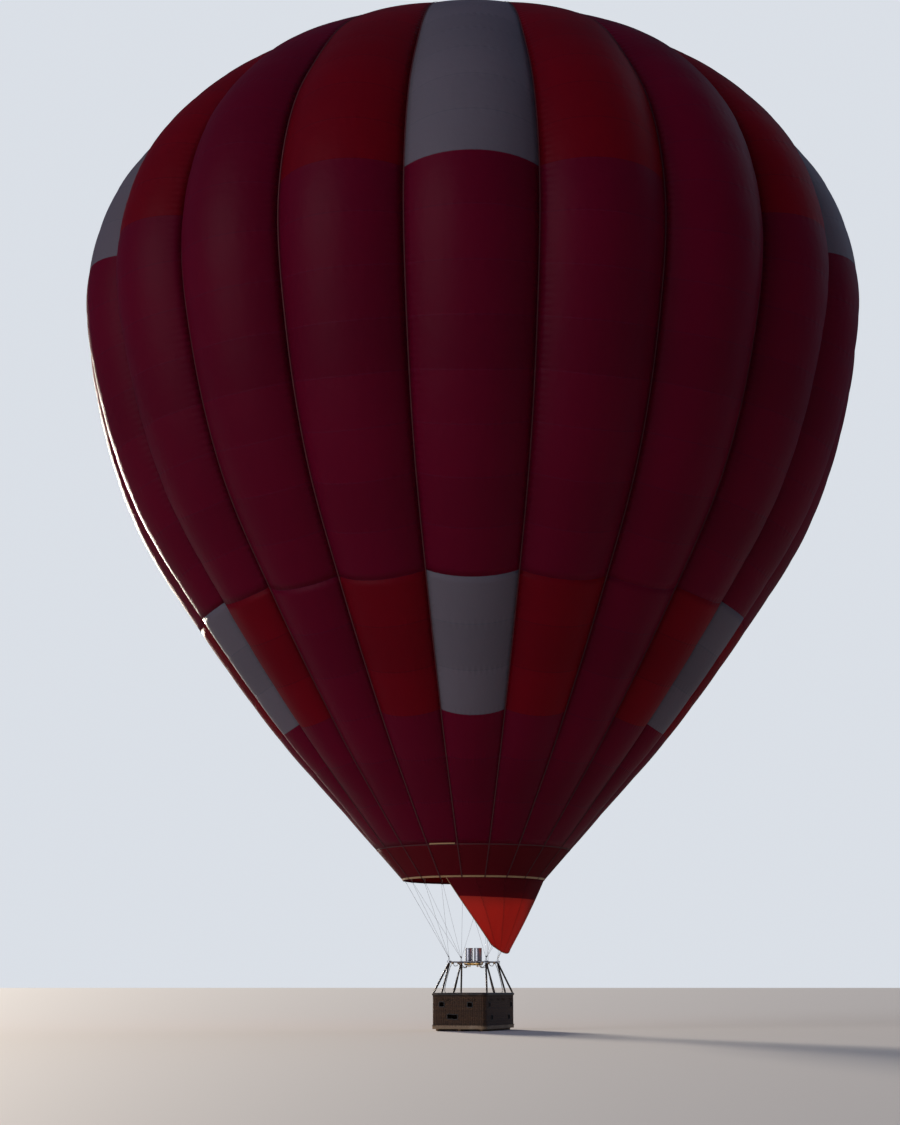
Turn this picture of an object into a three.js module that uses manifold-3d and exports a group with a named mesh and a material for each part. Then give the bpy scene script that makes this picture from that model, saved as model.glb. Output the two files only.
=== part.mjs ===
// Hot air balloon: a twenty-gore envelope over a two-burner frame and a partitioned wicker basket.
// Millimetres, +Z up. Heights below are measured from the underside of the basket's runners; the last
// lines move the whole model down, so that its origin is the envelope's centre of lift.
// Azimuth 0 faces -Y, one short end of the basket, and grows towards +X, the side with the scoop.
import * as THREE from 'three';
import Module from 'manifold-3d';
import { mergeVertices } from 'three/addons/utils/BufferGeometryUtils.js';

const wasm = await Module();
wasm.setup();

// Fits: touching pieces keep SEAT, and the sheets of fabric are SHEET thick
const SEAT = 0.3;
const SHEET = 10;

// Envelope
const GORES = 20;
const GORE_PITCH = (2 * Math.PI) / GORES;
const LIFT_CENTRE = 22900;
const MOUTH_HEIGHT = 4560;
const MOUTH_BAND_TOP = 5480;
const VENT_RADIUS = 3000;
const VENT_HEM_RADIUS = 3400;
const GORE_ROWS = 13;
const BAND_ROWS = 2;
const GORE_COLUMNS = 4;
// Meridian of the envelope over the middle of a gore: height, radius
const MERIDIAN = [
  [MOUTH_HEIGHT, 2210],
  [6730, 4140],
  [9050, 6210],
  [12580, 8840],
  [15830, 10910],
  [19460, 12220],
  [LIFT_CENTRE, 12730],
  [26200, 11920],
  [28900, 9880],
  [30720, 7530],
  [31800, 5000],
  [32260, 2790],
  [32390, 0],
];
// How deep a gore bulges between its load tapes, as a share of the distance between them
const BULGE_MOUTH = 0.04;
const BULGE_MIDDLE = 0.25;
const BULGE_CROWN = 0.02;
const BULGE_GROWS_OVER = 5200;
const BULGE_FADES_OVER = 5000;

// Crown: the parachute valve under the tapes that cross the vent, and the ring that gathers them
const VENT_BAND_WIDTH = 110;
const VENT_EDGE_LEAN = 1.1;
const TAPE_WIDTH = 50;
const TAPE_THICKNESS = 8;
const CROWN_RING_RADIUS = 230;
const CROWN_RING_WIDTH = 40;
const CROWN_RING_HEIGHT = 30;
const VALVE_RADIUS = 3260;
const VALVE_DROP = 26;
const VALVE_PATCH_RADIUS = 222;
const VALVE_RINGS = [0, 0.4, 0.75, 1];
const VALVE_SEGMENTS = 40;

// Scoop: a skirt round the windward half of the mouth, drawn in to a short lower hem
const SCOOP_HALF_ANGLE = THREE.MathUtils.degToRad(94);
const SCOOP_TOP_RADIUS = 2208;
const SCOOP_BOTTOM_HEIGHT = 2560;
const SCOOP_BOTTOM_X = 900;
const SCOOP_BOTTOM_SAG = 170;
const SCOOP_BOTTOM_HALF_WIDTH = 1000;
// How much lower the hem hangs at its middle than at its ends
const SCOOP_HEM_DROP = 240;
const SCOOP_COLUMNS = 16;
const SCOOP_ROWS = 5;
const SCOOP_BELLY = 0.03;

// Burner frame and what it carries
const FRAME_HALF = 600;
const FRAME_HEIGHT = 2060;
const FRAME_TUBE_RADIUS = 20;
const CORNER_BLOCK = [120, 120, 70];
const TETHER_LUG = [70, 60, 20];
const PIVOT_BRACKET = [60, 46, 60];
const KARABINER = [44, 44, 90];
const WIRE_RADIUS = 6;
const WIRE_END = [26, 26, 60];
const WIRE_END_LIFT = 8;
// How far the band's straight facets run inside its curve
const BAND_CHORD_SLACK = 0.8;
const WIRES_PER_CORNER = 5;
const GIMBAL_HALF_X = 480;
const GIMBAL_HALF_Y = 380;
const GIMBAL_TUBE = 30;
const PIN_RADIUS = 9;
const PIN_GAP = 0.4;
const CAN_SPACING = 290;
const CAN_RADIUS = 122;
const CAN_WALL = 12;
const CAN_BOTTOM = -30;
const CAN_FLOOR = 70;
const CAN_TOP = 430;
const BLOCK_SIZE = [600, 120, 70];
// Coil inside a can: a ring with a bead for each turn of the tube
const COIL_RADIUS = 100;
const COIL_WAIST = 3;
const COIL_BEAD = 7;
const COIL_FIRST_TURN = 120;
const COIL_TURN_PITCH = 45;
const COIL_TURNS = 6;
// Valve levers: distance out from the block's middle along Y, height above the block's top
const LEVER_PATH = [
  [50, -35],
  [95, -40],
  [125, -115],
];
const LEVER_RADIUS = 8;

// Basket
const BASKET_HALF_X = 875;
const BASKET_HALF_Y = 1500;
const WALL = 45;
const CORNER_RADIUS = 150;
const RUNNER_SIZE = [80, 2900, 60];
const RUNNER_PLACES = [-700, 0, 700];
const FLOOR_THICKNESS = 25;
const WALL_TOP = 1050;
const RIM_TOP = 1130;
const RIM_HALF_WIDTH = 42;
const RIM_CHAMFER = 15;
const RIM_CORNER_STEPS = 5;
const BULKHEAD_PLACE = 500;
const BULKHEAD_THICKNESS = 50;
const STEP_HOLE = [150, 130];
// Step holes in a short end of the basket: distance from the middle, height
const END_STEPS = [
  [-540, 790],
  [360, 780],
  [-280, 430],
  [-110, 420],
];
// Step holes in a long side
const SIDE_STEPS = [
  [-1120, 780],
  [-880, 400],
  [880, 400],
  [1120, 780],
];
const UPRIGHT_RADIUS = 27;
// Uprights at each corner: place on the rim, place under the burner frame, both along Y
const UPRIGHTS = [
  { name: 'outer', foot: 1330, head: 630 },
  { name: 'inner', foot: 560, head: 570 },
];
const CYLINDER_RADIUS = 150;
const CYLINDER_X = 640;
const CYLINDER_Y = 300;
// Half section of a fuel cylinder: radius, height above the floor
const CYLINDER_SECTION = [
  [0, 0],
  [125, 0],
  [125, 40],
  [CYLINDER_RADIUS, 80],
  [CYLINDER_RADIUS, 730],
  [120, 790],
  [120, 880],
  [100, 880],
  [100, 810],
  [35, 830],
  [35, 890],
  [0, 890],
];

// Fabrics and metals: colour, roughness, metalness
const FINISHES = {
  silver_fabric: [0x6c6e78, 0.55, 0.1],
  red_fabric: [0x8e1420, 0.7, 0],
  dark_fabric: [0x34101e, 0.75, 0],
  band_fabric: [0x4a1a1e, 0.85, 0],
  scoop_fabric: [0xa82c24, 0.8, 0],
  valve_fabric: [0x7a1220, 0.75, 0],
  tape: [0xb9a9a4, 0.8, 0],
  steel: [0x9a9da2, 0.35, 0.9],
  brass: [0xa08248, 0.35, 0.9],
  upright_cover: [0x3c2a20, 0.8, 0],
  wicker: [0x7a5338, 0.8, 0],
  rim_leather: [0x2e2622, 0.7, 0],
  timber: [0x8a6a44, 0.75, 0],
  cylinder_steel: [0xa8abae, 0.3, 0.9],
};
const materials = {};
for (const [name, [color, roughness, metalness]] of Object.entries(FINISHES)) {
  materials[name] = new THREE.MeshStandardMaterial({ name, color, roughness, metalness });
}

const balloon = new THREE.Group();

function addPiece(name, finish, geometry) {
  const mesh = new THREE.Mesh(geometry, materials[finish]);
  mesh.name = name;
  balloon.add(mesh);
  return mesh;
}

// Booleans, on meshes whose shared vertices are merged
function toSolid(geometry) {
  const plain = geometry.clone();
  plain.deleteAttribute('normal');
  plain.deleteAttribute('uv');
  const merged = mergeVertices(plain, 1e-3);
  return new wasm.Manifold(new wasm.Mesh({
    numProp: 3,
    vertProperties: Float32Array.from(merged.attributes.position.array),
    triVerts: Uint32Array.from(merged.index.array),
  }));
}

function toGeometry(solid) {
  const mesh = solid.getMesh();
  const geometry = new THREE.BufferGeometry();
  geometry.setAttribute('position', new THREE.BufferAttribute(mesh.vertProperties, 3));
  geometry.setIndex(new THREE.BufferAttribute(mesh.triVerts, 1));
  return geometry;
}

function join(geometries) {
  return toGeometry(geometries.map(toSolid).reduce((whole, part) => whole.add(part)));
}

function cut(geometry, tools) {
  return toGeometry(tools.map(toSolid).reduce((whole, tool) => whole.subtract(tool), toSolid(geometry)));
}

// A closed geometry from points and the triangles between them
function fromTriangles(points, triangles) {
  const geometry = new THREE.BufferGeometry();
  geometry.setAttribute('position', new THREE.Float32BufferAttribute(points.flatMap((p) => p.toArray()), 3));
  geometry.setIndex(triangles);
  return geometry;
}

// A sheet with a thickness: a grid of outer points and the inner points behind them.
// Rows run upwards and columns to the right as seen from outside. A closed sheet joins its last column
// to its first.
function sheet(outer, inner, closed = false) {
  const rows = outer.length;
  const columns = outer[0].length;
  const points = [...outer.flat(), ...inner.flat()];
  const at = (side, row, column) => side * rows * columns + row * columns + (column % columns);
  const triangles = [];
  const quad = (a, b, c, d) => triangles.push(a, b, c, a, c, d);
  const spans = closed ? columns : columns - 1;
  for (let row = 0; row < rows - 1; row += 1) {
    for (let column = 0; column < spans; column += 1) {
      quad(at(0, row, column), at(0, row, column + 1), at(0, row + 1, column + 1), at(0, row + 1, column));
      quad(at(1, row, column), at(1, row + 1, column), at(1, row + 1, column + 1), at(1, row, column + 1));
    }
  }
  for (let column = 0; column < spans; column += 1) {
    const top = rows - 1;
    quad(at(1, 0, column), at(1, 0, column + 1), at(0, 0, column + 1), at(0, 0, column));
    quad(at(0, top, column), at(0, top, column + 1), at(1, top, column + 1), at(1, top, column));
  }
  if (!closed) {
    const last = columns - 1;
    for (let row = 0; row < rows - 1; row += 1) {
      quad(at(0, row, 0), at(0, row + 1, 0), at(1, row + 1, 0), at(1, row, 0));
      quad(at(0, row, last), at(1, row, last), at(1, row + 1, last), at(0, row + 1, last));
    }
  }
  return fromTriangles(points, triangles);
}

// The point a sheet's thickness inside a surface given as surface(column, row), both from 0 to 1.
// A level sheet is measured level, so that its upper and lower edges are flat.
function innerPoint(surface, column, row, thickness, level) {
  const step = 1e-3;
  const here = surface(column, row);
  const across = surface(Math.min(column + step, 1), row).sub(surface(Math.max(column - step, 0), row));
  const along = surface(column, Math.min(row + step, 1)).sub(surface(column, Math.max(row - step, 0)));
  const outwards = across.cross(along);
  if (level) outwards.z = 0;
  return here.sub(outwards.setLength(thickness));
}

function sheetFrom(surface, columns, rows, thickness, level = false) {
  const outer = [];
  const inner = [];
  for (let row = 0; row <= rows; row += 1) {
    const outerRow = [];
    const innerRow = [];
    for (let column = 0; column <= columns; column += 1) {
      outerRow.push(surface(column / columns, row / rows));
      innerRow.push(innerPoint(surface, column / columns, row / rows, thickness, level));
    }
    outer.push(outerRow);
    inner.push(innerRow);
  }
  return sheet(outer, inner);
}

// A box by its size and centre
function box([width, depth, height], x, y, z) {
  return new THREE.BoxGeometry(width, depth, height).translate(x, y, z);
}

// A round rod between two points
function rod(from, to, radius, sides = 10) {
  const length = from.distanceTo(to);
  const turn = new THREE.Quaternion().setFromUnitVectors(
    new THREE.Vector3(0, 1, 0),
    to.clone().sub(from).normalize(),
  );
  const middle = from.clone().add(to).multiplyScalar(0.5);
  return new THREE.CylinderGeometry(radius, radius, length, sides)
    .applyQuaternion(turn)
    .translate(middle.x, middle.y, middle.z);
}

// A solid of revolution about +Z from pairs of radius and height. A closed ring repeats its first pair.
function turned(section, segments) {
  const profile = section.map(([radius, height]) => new THREE.Vector2(radius, height));
  return new THREE.LatheGeometry(profile, segments).rotateX(Math.PI / 2);
}

// A place by azimuth, distance from the axis and height, moved along the tangent by aside
function around(azimuth, radius, height, aside = 0) {
  return new THREE.Vector3(
    radius * Math.sin(azimuth) + aside * Math.cos(azimuth),
    -radius * Math.cos(azimuth) + aside * Math.sin(azimuth),
    height,
  );
}

// The envelope's meridian as a smooth curve: x is the radius, y the height
const meridian = new THREE.CatmullRomCurve3(
  MERIDIAN.map(([height, radius]) => new THREE.Vector3(radius, height, 0)),
);

// Where on the meridian a height or a radius is reached
function meridianShare(reached) {
  let low = 0;
  let high = 1;
  for (let turn = 0; turn < 40; turn += 1) {
    const middle = (low + high) / 2;
    if (reached(meridian.getPoint(middle))) high = middle;
    else low = middle;
  }
  return high;
}

const shareAtHeight = (height) => meridianShare((point) => point.y >= height);
const shareAtCrownRadius = (radius) => meridianShare((point) => point.y > LIFT_CENTRE && point.x <= radius);

// Height of the crown over the middle of a gore at a distance from the axis
const crownHeight = (radius) => meridian.getPoint(shareAtCrownRadius(radius)).y;

function bulgeShare(height) {
  const grow = THREE.MathUtils.smoothstep(height, MOUTH_HEIGHT, MOUTH_HEIGHT + BULGE_GROWS_OVER);
  const crown = MERIDIAN[MERIDIAN.length - 1][0];
  const fade = THREE.MathUtils.smoothstep(height, crown - BULGE_FADES_OVER, crown);
  const lower = THREE.MathUtils.lerp(BULGE_MOUTH, BULGE_MIDDLE, grow);
  return THREE.MathUtils.lerp(lower, BULGE_CROWN, fade);
}

// A point of the envelope: share along the meridian, gore number, and side from -1 at the gore's left
// load tape to 1 at its right one. Between the tapes the fabric bulges on an arc.
function envelopePoint(share, gore, side, seamGap = 0) {
  const { x: fullRadius, y: height } = meridian.getPoint(share);
  const bulge = bulgeShare(height);
  const half = GORE_PITCH / 2;
  const tapeRadius = fullRadius / (Math.cos(half) + 2 * bulge * Math.sin(half));
  const halfWidth = tapeRadius * Math.sin(half) - seamGap;
  const halfArc = 2 * Math.atan(2 * bulge);
  const arcRadius = halfWidth / Math.sin(halfArc);
  const angle = side * halfArc;
  const reach = tapeRadius * Math.cos(half) + arcRadius * (Math.cos(angle) - Math.cos(halfArc));
  return around(gore * GORE_PITCH, reach, height, arcRadius * Math.sin(angle));
}

// Radius of the load tapes at a height
function tapeRadiusAt(height) {
  const corner = envelopePoint(shareAtHeight(height), 0, 1);
  return Math.hypot(corner.x, corner.y);
}

// Gores, from the mouth band to the vent. The colours repeat every four gores.
const GORE_FINISHES = ['red_fabric', 'silver_fabric', 'red_fabric', 'dark_fabric'];

function makeGores() {
  const bottom = shareAtHeight(MOUTH_BAND_TOP + SEAT);
  const hem = shareAtCrownRadius(VENT_HEM_RADIUS);
  const vent = shareAtCrownRadius(VENT_RADIUS);
  // The topmost row is the narrow hem round the vent
  const hemRow = 1 - 1 / GORE_ROWS;
  const shareAtRow = (row) => (row <= hemRow
    ? THREE.MathUtils.lerp(bottom, hem, row / hemRow)
    : THREE.MathUtils.lerp(hem, vent, (row - hemRow) * GORE_ROWS));
  for (let gore = 0; gore < GORES; gore += 1) {
    const surface = (column, row) => envelopePoint(shareAtRow(row), gore, 2 * column - 1, SEAT / 2);
    const number = String(gore + 1).padStart(2, '0');
    const finish = GORE_FINISHES[gore % GORE_FINISHES.length];
    addPiece(`gore_${number}`, finish, sheetFrom(surface, GORE_COLUMNS, GORE_ROWS, SHEET));
  }
}

// Mouth band: the heat-proof ring of panels under the gores
function makeMouthBand() {
  const bottom = shareAtHeight(MOUTH_HEIGHT);
  const top = shareAtHeight(MOUTH_BAND_TOP);
  const outer = [];
  const inner = [];
  for (let row = 0; row <= BAND_ROWS; row += 1) {
    const share = THREE.MathUtils.lerp(bottom, top, row / BAND_ROWS);
    const outerRow = [];
    const innerRow = [];
    for (let gore = 0; gore < GORES; gore += 1) {
      for (const side of [-1, 0]) {
        const point = envelopePoint(share, gore, side);
        const inwards = new THREE.Vector3(-point.x, -point.y, 0).setLength(SHEET);
        outerRow.push(point);
        innerRow.push(point.clone().add(inwards));
      }
    }
    outer.push(outerRow);
    inner.push(innerRow);
  }
  addPiece('mouth_band', 'band_fabric', sheet(outer, inner, true));
}

const crownRingInner = CROWN_RING_RADIUS - CROWN_RING_WIDTH;
const crownRingTop = crownHeight(CROWN_RING_RADIUS) + CROWN_RING_HEIGHT / 2;

// Crown ring: a band round the vent, one tape for each seam, and the ring that gathers the tapes
function makeCrown() {
  const bandOuter = VENT_RADIUS - VENT_EDGE_LEAN - SEAT;
  const bandInner = bandOuter - VENT_BAND_WIDTH;
  const ring = (inner, outer, innerTop, outerTop, thickness) => turned([
    [inner, innerTop - thickness],
    [outer, outerTop - thickness],
    [outer, outerTop],
    [inner, innerTop],
    [inner, innerTop - thickness],
  ], GORES * 2);
  const pieces = [
    ring(bandInner, bandOuter, crownHeight(bandInner), crownHeight(bandOuter), TAPE_THICKNESS),
    ring(crownRingInner, CROWN_RING_RADIUS, crownRingTop, crownRingTop, CROWN_RING_HEIGHT),
  ];
  for (let gore = 0; gore < GORES; gore += 1) {
    const azimuth = (gore + 0.5) * GORE_PITCH;
    const surface = (column, row) => {
      const radius = THREE.MathUtils.lerp(bandInner + 40, CROWN_RING_RADIUS - 20, row);
      const aside = (column - 0.5) * TAPE_WIDTH;
      return around(azimuth, radius, crownHeight(radius), aside);
    };
    pieces.push(sheetFrom(surface, 1, 3, TAPE_THICKNESS));
  }
  addPiece('crown_ring', 'tape', join(pieces));
}

// Parachute valve: a shallow disc that lies under the vent and is pulled down to let hot air out.
// Its centre patch rests against the crown ring.
function makeValve() {
  const fabric = VALVE_RINGS.map((share) => {
    const radius = share * VALVE_RADIUS;
    return [radius, crownHeight(Math.max(radius, 1)) - VALVE_DROP];
  });
  const patchTop = crownRingTop - CROWN_RING_HEIGHT - SEAT;
  const section = [
    ...fabric.map(([radius, height]) => [radius, height - SHEET]),
    ...fabric.slice(1).reverse(),
    [VALVE_PATCH_RADIUS, crownHeight(VALVE_PATCH_RADIUS) - VALVE_DROP],
    [VALVE_PATCH_RADIUS, patchTop],
    [0, patchTop],
  ];
  addPiece('parachute_valve', 'valve_fabric', turned(section, VALVE_SEGMENTS));
}

// Scoop: hangs from the windward half of the mouth and draws in to its lower hem
function makeScoop() {
  const surface = (column, row) => {
    const across = 2 * column - 1;
    const azimuth = Math.PI / 2 + across * SCOOP_HALF_ANGLE;
    const top = around(azimuth, SCOOP_TOP_RADIUS, MOUTH_HEIGHT - SEAT);
    const hem = new THREE.Vector3(
      SCOOP_BOTTOM_X + SCOOP_BOTTOM_SAG * Math.cos((across * Math.PI) / 2),
      SCOOP_BOTTOM_HALF_WIDTH * across,
      SCOOP_BOTTOM_HEIGHT - SCOOP_HEM_DROP * Math.cos((across * Math.PI) / 2),
    );
    const point = hem.lerp(top, row);
    const belly = 1 + SCOOP_BELLY * Math.sin(Math.PI * row);
    return new THREE.Vector3(point.x * belly, point.y * belly, point.z);
  };
  addPiece('scoop', 'scoop_fabric', sheetFrom(surface, SCOOP_COLUMNS, SCOOP_ROWS, SHEET, true));
}

// Flying wires: five from each karabiner on the burner frame, each to the foot of a load tape
function makeWires() {
  const corners = [
    { name: 'front_right', x: 1, y: -1, firstSeam: 0 },
    { name: 'back_right', x: 1, y: 1, firstSeam: 5 },
    { name: 'back_left', x: -1, y: 1, firstSeam: 10 },
    { name: 'front_left', x: -1, y: -1, firstSeam: 15 },
  ];
  const karabinerBottom = FRAME_HEIGHT + CORNER_BLOCK[2] / 2 + SEAT;
  const bandRadius = tapeRadiusAt(MOUTH_HEIGHT + WIRE_END_LIFT) - SHEET - BAND_CHORD_SLACK;
  const endRadius = bandRadius - SEAT - WIRE_END[1] / 2;
  for (const corner of corners) {
    const x = corner.x * FRAME_HALF;
    const y = corner.y * FRAME_HALF;
    const pieces = [box(KARABINER, x, y, karabinerBottom + KARABINER[2] / 2)];
    const start = new THREE.Vector3(x, y, karabinerBottom + KARABINER[2] - 20);
    for (let wire = 0; wire < WIRES_PER_CORNER; wire += 1) {
      const azimuth = (corner.firstSeam + wire + 0.5) * GORE_PITCH;
      const end = around(azimuth, endRadius, MOUTH_HEIGHT + WIRE_END_LIFT + WIRE_END[2] / 2);
      pieces.push(rod(start, end, WIRE_RADIUS, 6));
      pieces.push(box(WIRE_END, 0, 0, 0).rotateZ(azimuth).translate(end.x, end.y, end.z));
    }
    addPiece(`flying_wires_${corner.name}`, 'steel', join(pieces));
  }
}

// Burner frame: four tubes between corner blocks, brackets for the gimbal and lugs for a tether
function makeBurnerFrame() {
  const pieces = [];
  for (const side of [-1, 1]) {
    const place = side * FRAME_HALF;
    pieces.push(rod(
      new THREE.Vector3(-FRAME_HALF, place, FRAME_HEIGHT),
      new THREE.Vector3(FRAME_HALF, place, FRAME_HEIGHT),
      FRAME_TUBE_RADIUS,
    ));
    pieces.push(rod(
      new THREE.Vector3(place, -FRAME_HALF, FRAME_HEIGHT),
      new THREE.Vector3(place, FRAME_HALF, FRAME_HEIGHT),
      FRAME_TUBE_RADIUS,
    ));
    pieces.push(box(PIVOT_BRACKET, 0, side * (FRAME_HALF - 30), FRAME_HEIGHT));
    pieces.push(box(TETHER_LUG, side * (FRAME_HALF + 40), 0, FRAME_HEIGHT));
    for (const other of [-1, 1]) {
      pieces.push(box(CORNER_BLOCK, place, other * FRAME_HALF, FRAME_HEIGHT));
    }
  }
  addPiece('burner_frame', 'steel', join(pieces));
}

// Gimbal ring: turns on two pins along Y between the frame's brackets
function makeGimbal() {
  const pieces = [];
  const bracketFace = FRAME_HALF - 30 - PIVOT_BRACKET[1] / 2;
  for (const side of [-1, 1]) {
    const bar = [2 * GIMBAL_HALF_X + GIMBAL_TUBE, GIMBAL_TUBE, GIMBAL_TUBE];
    pieces.push(box(bar, 0, side * GIMBAL_HALF_Y, FRAME_HEIGHT));
    pieces.push(box([GIMBAL_TUBE, 2 * GIMBAL_HALF_Y, GIMBAL_TUBE], side * GIMBAL_HALF_X, 0, FRAME_HEIGHT));
    pieces.push(rod(
      new THREE.Vector3(0, side * GIMBAL_HALF_Y, FRAME_HEIGHT),
      new THREE.Vector3(0, side * (bracketFace - PIN_GAP), FRAME_HEIGHT),
      PIN_RADIUS,
    ));
  }
  addPiece('gimbal_ring', 'steel', join(pieces));
}

// Burners: a valve block that turns on pins along X inside the gimbal, with two open cans on it
function makeBurners() {
  const blockTop = FRAME_HEIGHT + CAN_BOTTOM - SEAT;
  const gimbalFace = GIMBAL_HALF_X - GIMBAL_TUBE / 2;
  const cheek = [30, 60, 100];
  const block = [box(BLOCK_SIZE, 0, 0, blockTop - BLOCK_SIZE[2] / 2)];
  for (const side of [-1, 1]) {
    const cheekPlace = side * (BLOCK_SIZE[0] / 2 - cheek[0] / 2);
    block.push(box(cheek, cheekPlace, 0, FRAME_HEIGHT - 30));
    block.push(rod(
      new THREE.Vector3(cheekPlace, 0, FRAME_HEIGHT),
      new THREE.Vector3(side * (gimbalFace - PIN_GAP), 0, FRAME_HEIGHT),
      PIN_RADIUS,
    ));
  }
  for (const side of [-1, 1]) {
    for (const end of [-1, 1]) {
      const points = LEVER_PATH.map(
        ([out, rise]) => new THREE.Vector3((side * CAN_SPACING) / 2, end * out, blockTop + rise),
      );
      block.push(rod(points[0], points[1], LEVER_RADIUS, 8), rod(points[1], points[2], LEVER_RADIUS, 8));
    }
  }
  addPiece('burner_block', 'brass', join(block));
  const section = [
    [0, CAN_BOTTOM],
    [CAN_RADIUS - 40, CAN_BOTTOM],
    [CAN_RADIUS, CAN_BOTTOM + 60],
    [CAN_RADIUS, CAN_TOP],
    [CAN_RADIUS - CAN_WALL, CAN_TOP],
    [CAN_RADIUS - CAN_WALL, CAN_FLOOR],
    [0, CAN_FLOOR],
  ];
  const coilFoot = CAN_FLOOR + SEAT;
  const outside = [[COIL_RADIUS + COIL_WAIST, coilFoot]];
  const inside = [[COIL_RADIUS - COIL_WAIST, coilFoot]];
  for (let turn = 0; turn < COIL_TURNS; turn += 1) {
    const height = COIL_FIRST_TURN + turn * COIL_TURN_PITCH;
    for (const [reach, rise] of [[COIL_WAIST, -COIL_BEAD], [COIL_BEAD, 0], [COIL_WAIST, COIL_BEAD]]) {
      outside.push([COIL_RADIUS + reach, height + rise]);
      inside.push([COIL_RADIUS - reach, height + rise]);
    }
  }
  const coilSection = [inside[0], ...outside, ...inside.reverse()];
  for (const [name, side] of [['left', -1], ['right', 1]]) {
    const place = (side * CAN_SPACING) / 2;
    addPiece(`burner_can_${name}`, 'steel', turned(section, 24).translate(place, 0, FRAME_HEIGHT));
    addPiece(`burner_coil_${name}`, 'brass', turned(coilSection, 20).translate(place, 0, FRAME_HEIGHT));
  }
}

// Basket floor and the runners under it
function makeFloor() {
  RUNNER_PLACES.forEach((x, index) => {
    addPiece(`runner_${index + 1}`, 'timber', box(RUNNER_SIZE, x, 0, RUNNER_SIZE[2] / 2));
  });
  const plate = new THREE.ExtrudeGeometry(roundedOutline(0), { depth: FLOOR_THICKNESS, bevelEnabled: false });
  addPiece('basket_floor', 'timber', plate.translate(0, 0, RUNNER_SIZE[2] + SEAT));
}

// The basket's outline in plan, moved inwards by inset
function roundedOutline(inset) {
  const x = BASKET_HALF_X - inset;
  const y = BASKET_HALF_Y - inset;
  const radius = CORNER_RADIUS - inset;
  const shape = new THREE.Shape();
  shape.absarc(x - radius, -y + radius, radius, -Math.PI / 2, 0);
  shape.absarc(x - radius, y - radius, radius, 0, Math.PI / 2);
  shape.absarc(-x + radius, y - radius, radius, Math.PI / 2, Math.PI);
  shape.absarc(-x + radius, -y + radius, radius, Math.PI, 1.5 * Math.PI);
  return shape;
}

// Basket walls: each short end turns the corners, and the long sides stand between them
function makeWalls() {
  const bottom = RUNNER_SIZE[2] + SEAT + FLOOR_THICKNESS + SEAT;
  const straight = BASKET_HALF_Y - CORNER_RADIUS;
  for (const [name, side] of [['front', -1], ['back', 1]]) {
    const shape = new THREE.Shape();
    const turn = BASKET_HALF_X - CORNER_RADIUS;
    shape.absarc(turn, straight, CORNER_RADIUS, 0, Math.PI / 2);
    shape.absarc(-turn, straight, CORNER_RADIUS, Math.PI / 2, Math.PI);
    shape.absarc(-turn, straight, CORNER_RADIUS - WALL, Math.PI, Math.PI / 2, true);
    shape.absarc(turn, straight, CORNER_RADIUS - WALL, Math.PI / 2, 0, true);
    const wall = new THREE.ExtrudeGeometry(shape, {
      depth: WALL_TOP - bottom,
      bevelEnabled: false,
      curveSegments: 6,
    }).translate(0, 0, bottom);
    if (side < 0) wall.rotateZ(Math.PI);
    const holes = END_STEPS.map(([place, height]) => box(
      [STEP_HOLE[0], 3 * WALL, STEP_HOLE[1]],
      place,
      side * (BASKET_HALF_Y - WALL / 2),
      height,
    ));
    addPiece(`basket_end_${name}`, 'wicker', cut(wall, holes));
  }
  for (const [name, side] of [['left', -1], ['right', 1]]) {
    const x = side * (BASKET_HALF_X - WALL / 2);
    const wall = box([WALL, 2 * straight - 2 * SEAT, WALL_TOP - bottom], x, 0, (WALL_TOP + bottom) / 2);
    const holes = SIDE_STEPS.map(([place, height]) => box([3 * WALL, ...STEP_HOLE], x, place, height));
    addPiece(`basket_side_${name}`, 'wicker', cut(wall, holes));
  }
}

// Bulkheads: two across the basket beside the pilot's bay, and one down the middle of each end bay
function makeBulkheads() {
  const bottom = RUNNER_SIZE[2] + FLOOR_THICKNESS + 2 * SEAT;
  const height = WALL_TOP - bottom;
  const inner = BASKET_HALF_X - WALL - SEAT;
  for (const [name, side] of [['front', -1], ['back', 1]]) {
    addPiece(
      `bulkhead_${name}`,
      'wicker',
      box([2 * inner, BULKHEAD_THICKNESS, height], 0, side * BULKHEAD_PLACE, bottom + height / 2),
    );
    const near = BULKHEAD_PLACE + BULKHEAD_THICKNESS / 2 + SEAT;
    const far = BASKET_HALF_Y - WALL - SEAT;
    addPiece(
      `divider_${name}`,
      'wicker',
      box([BULKHEAD_THICKNESS, far - near, height], 0, (side * (near + far)) / 2, bottom + height / 2),
    );
  }
}

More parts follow.
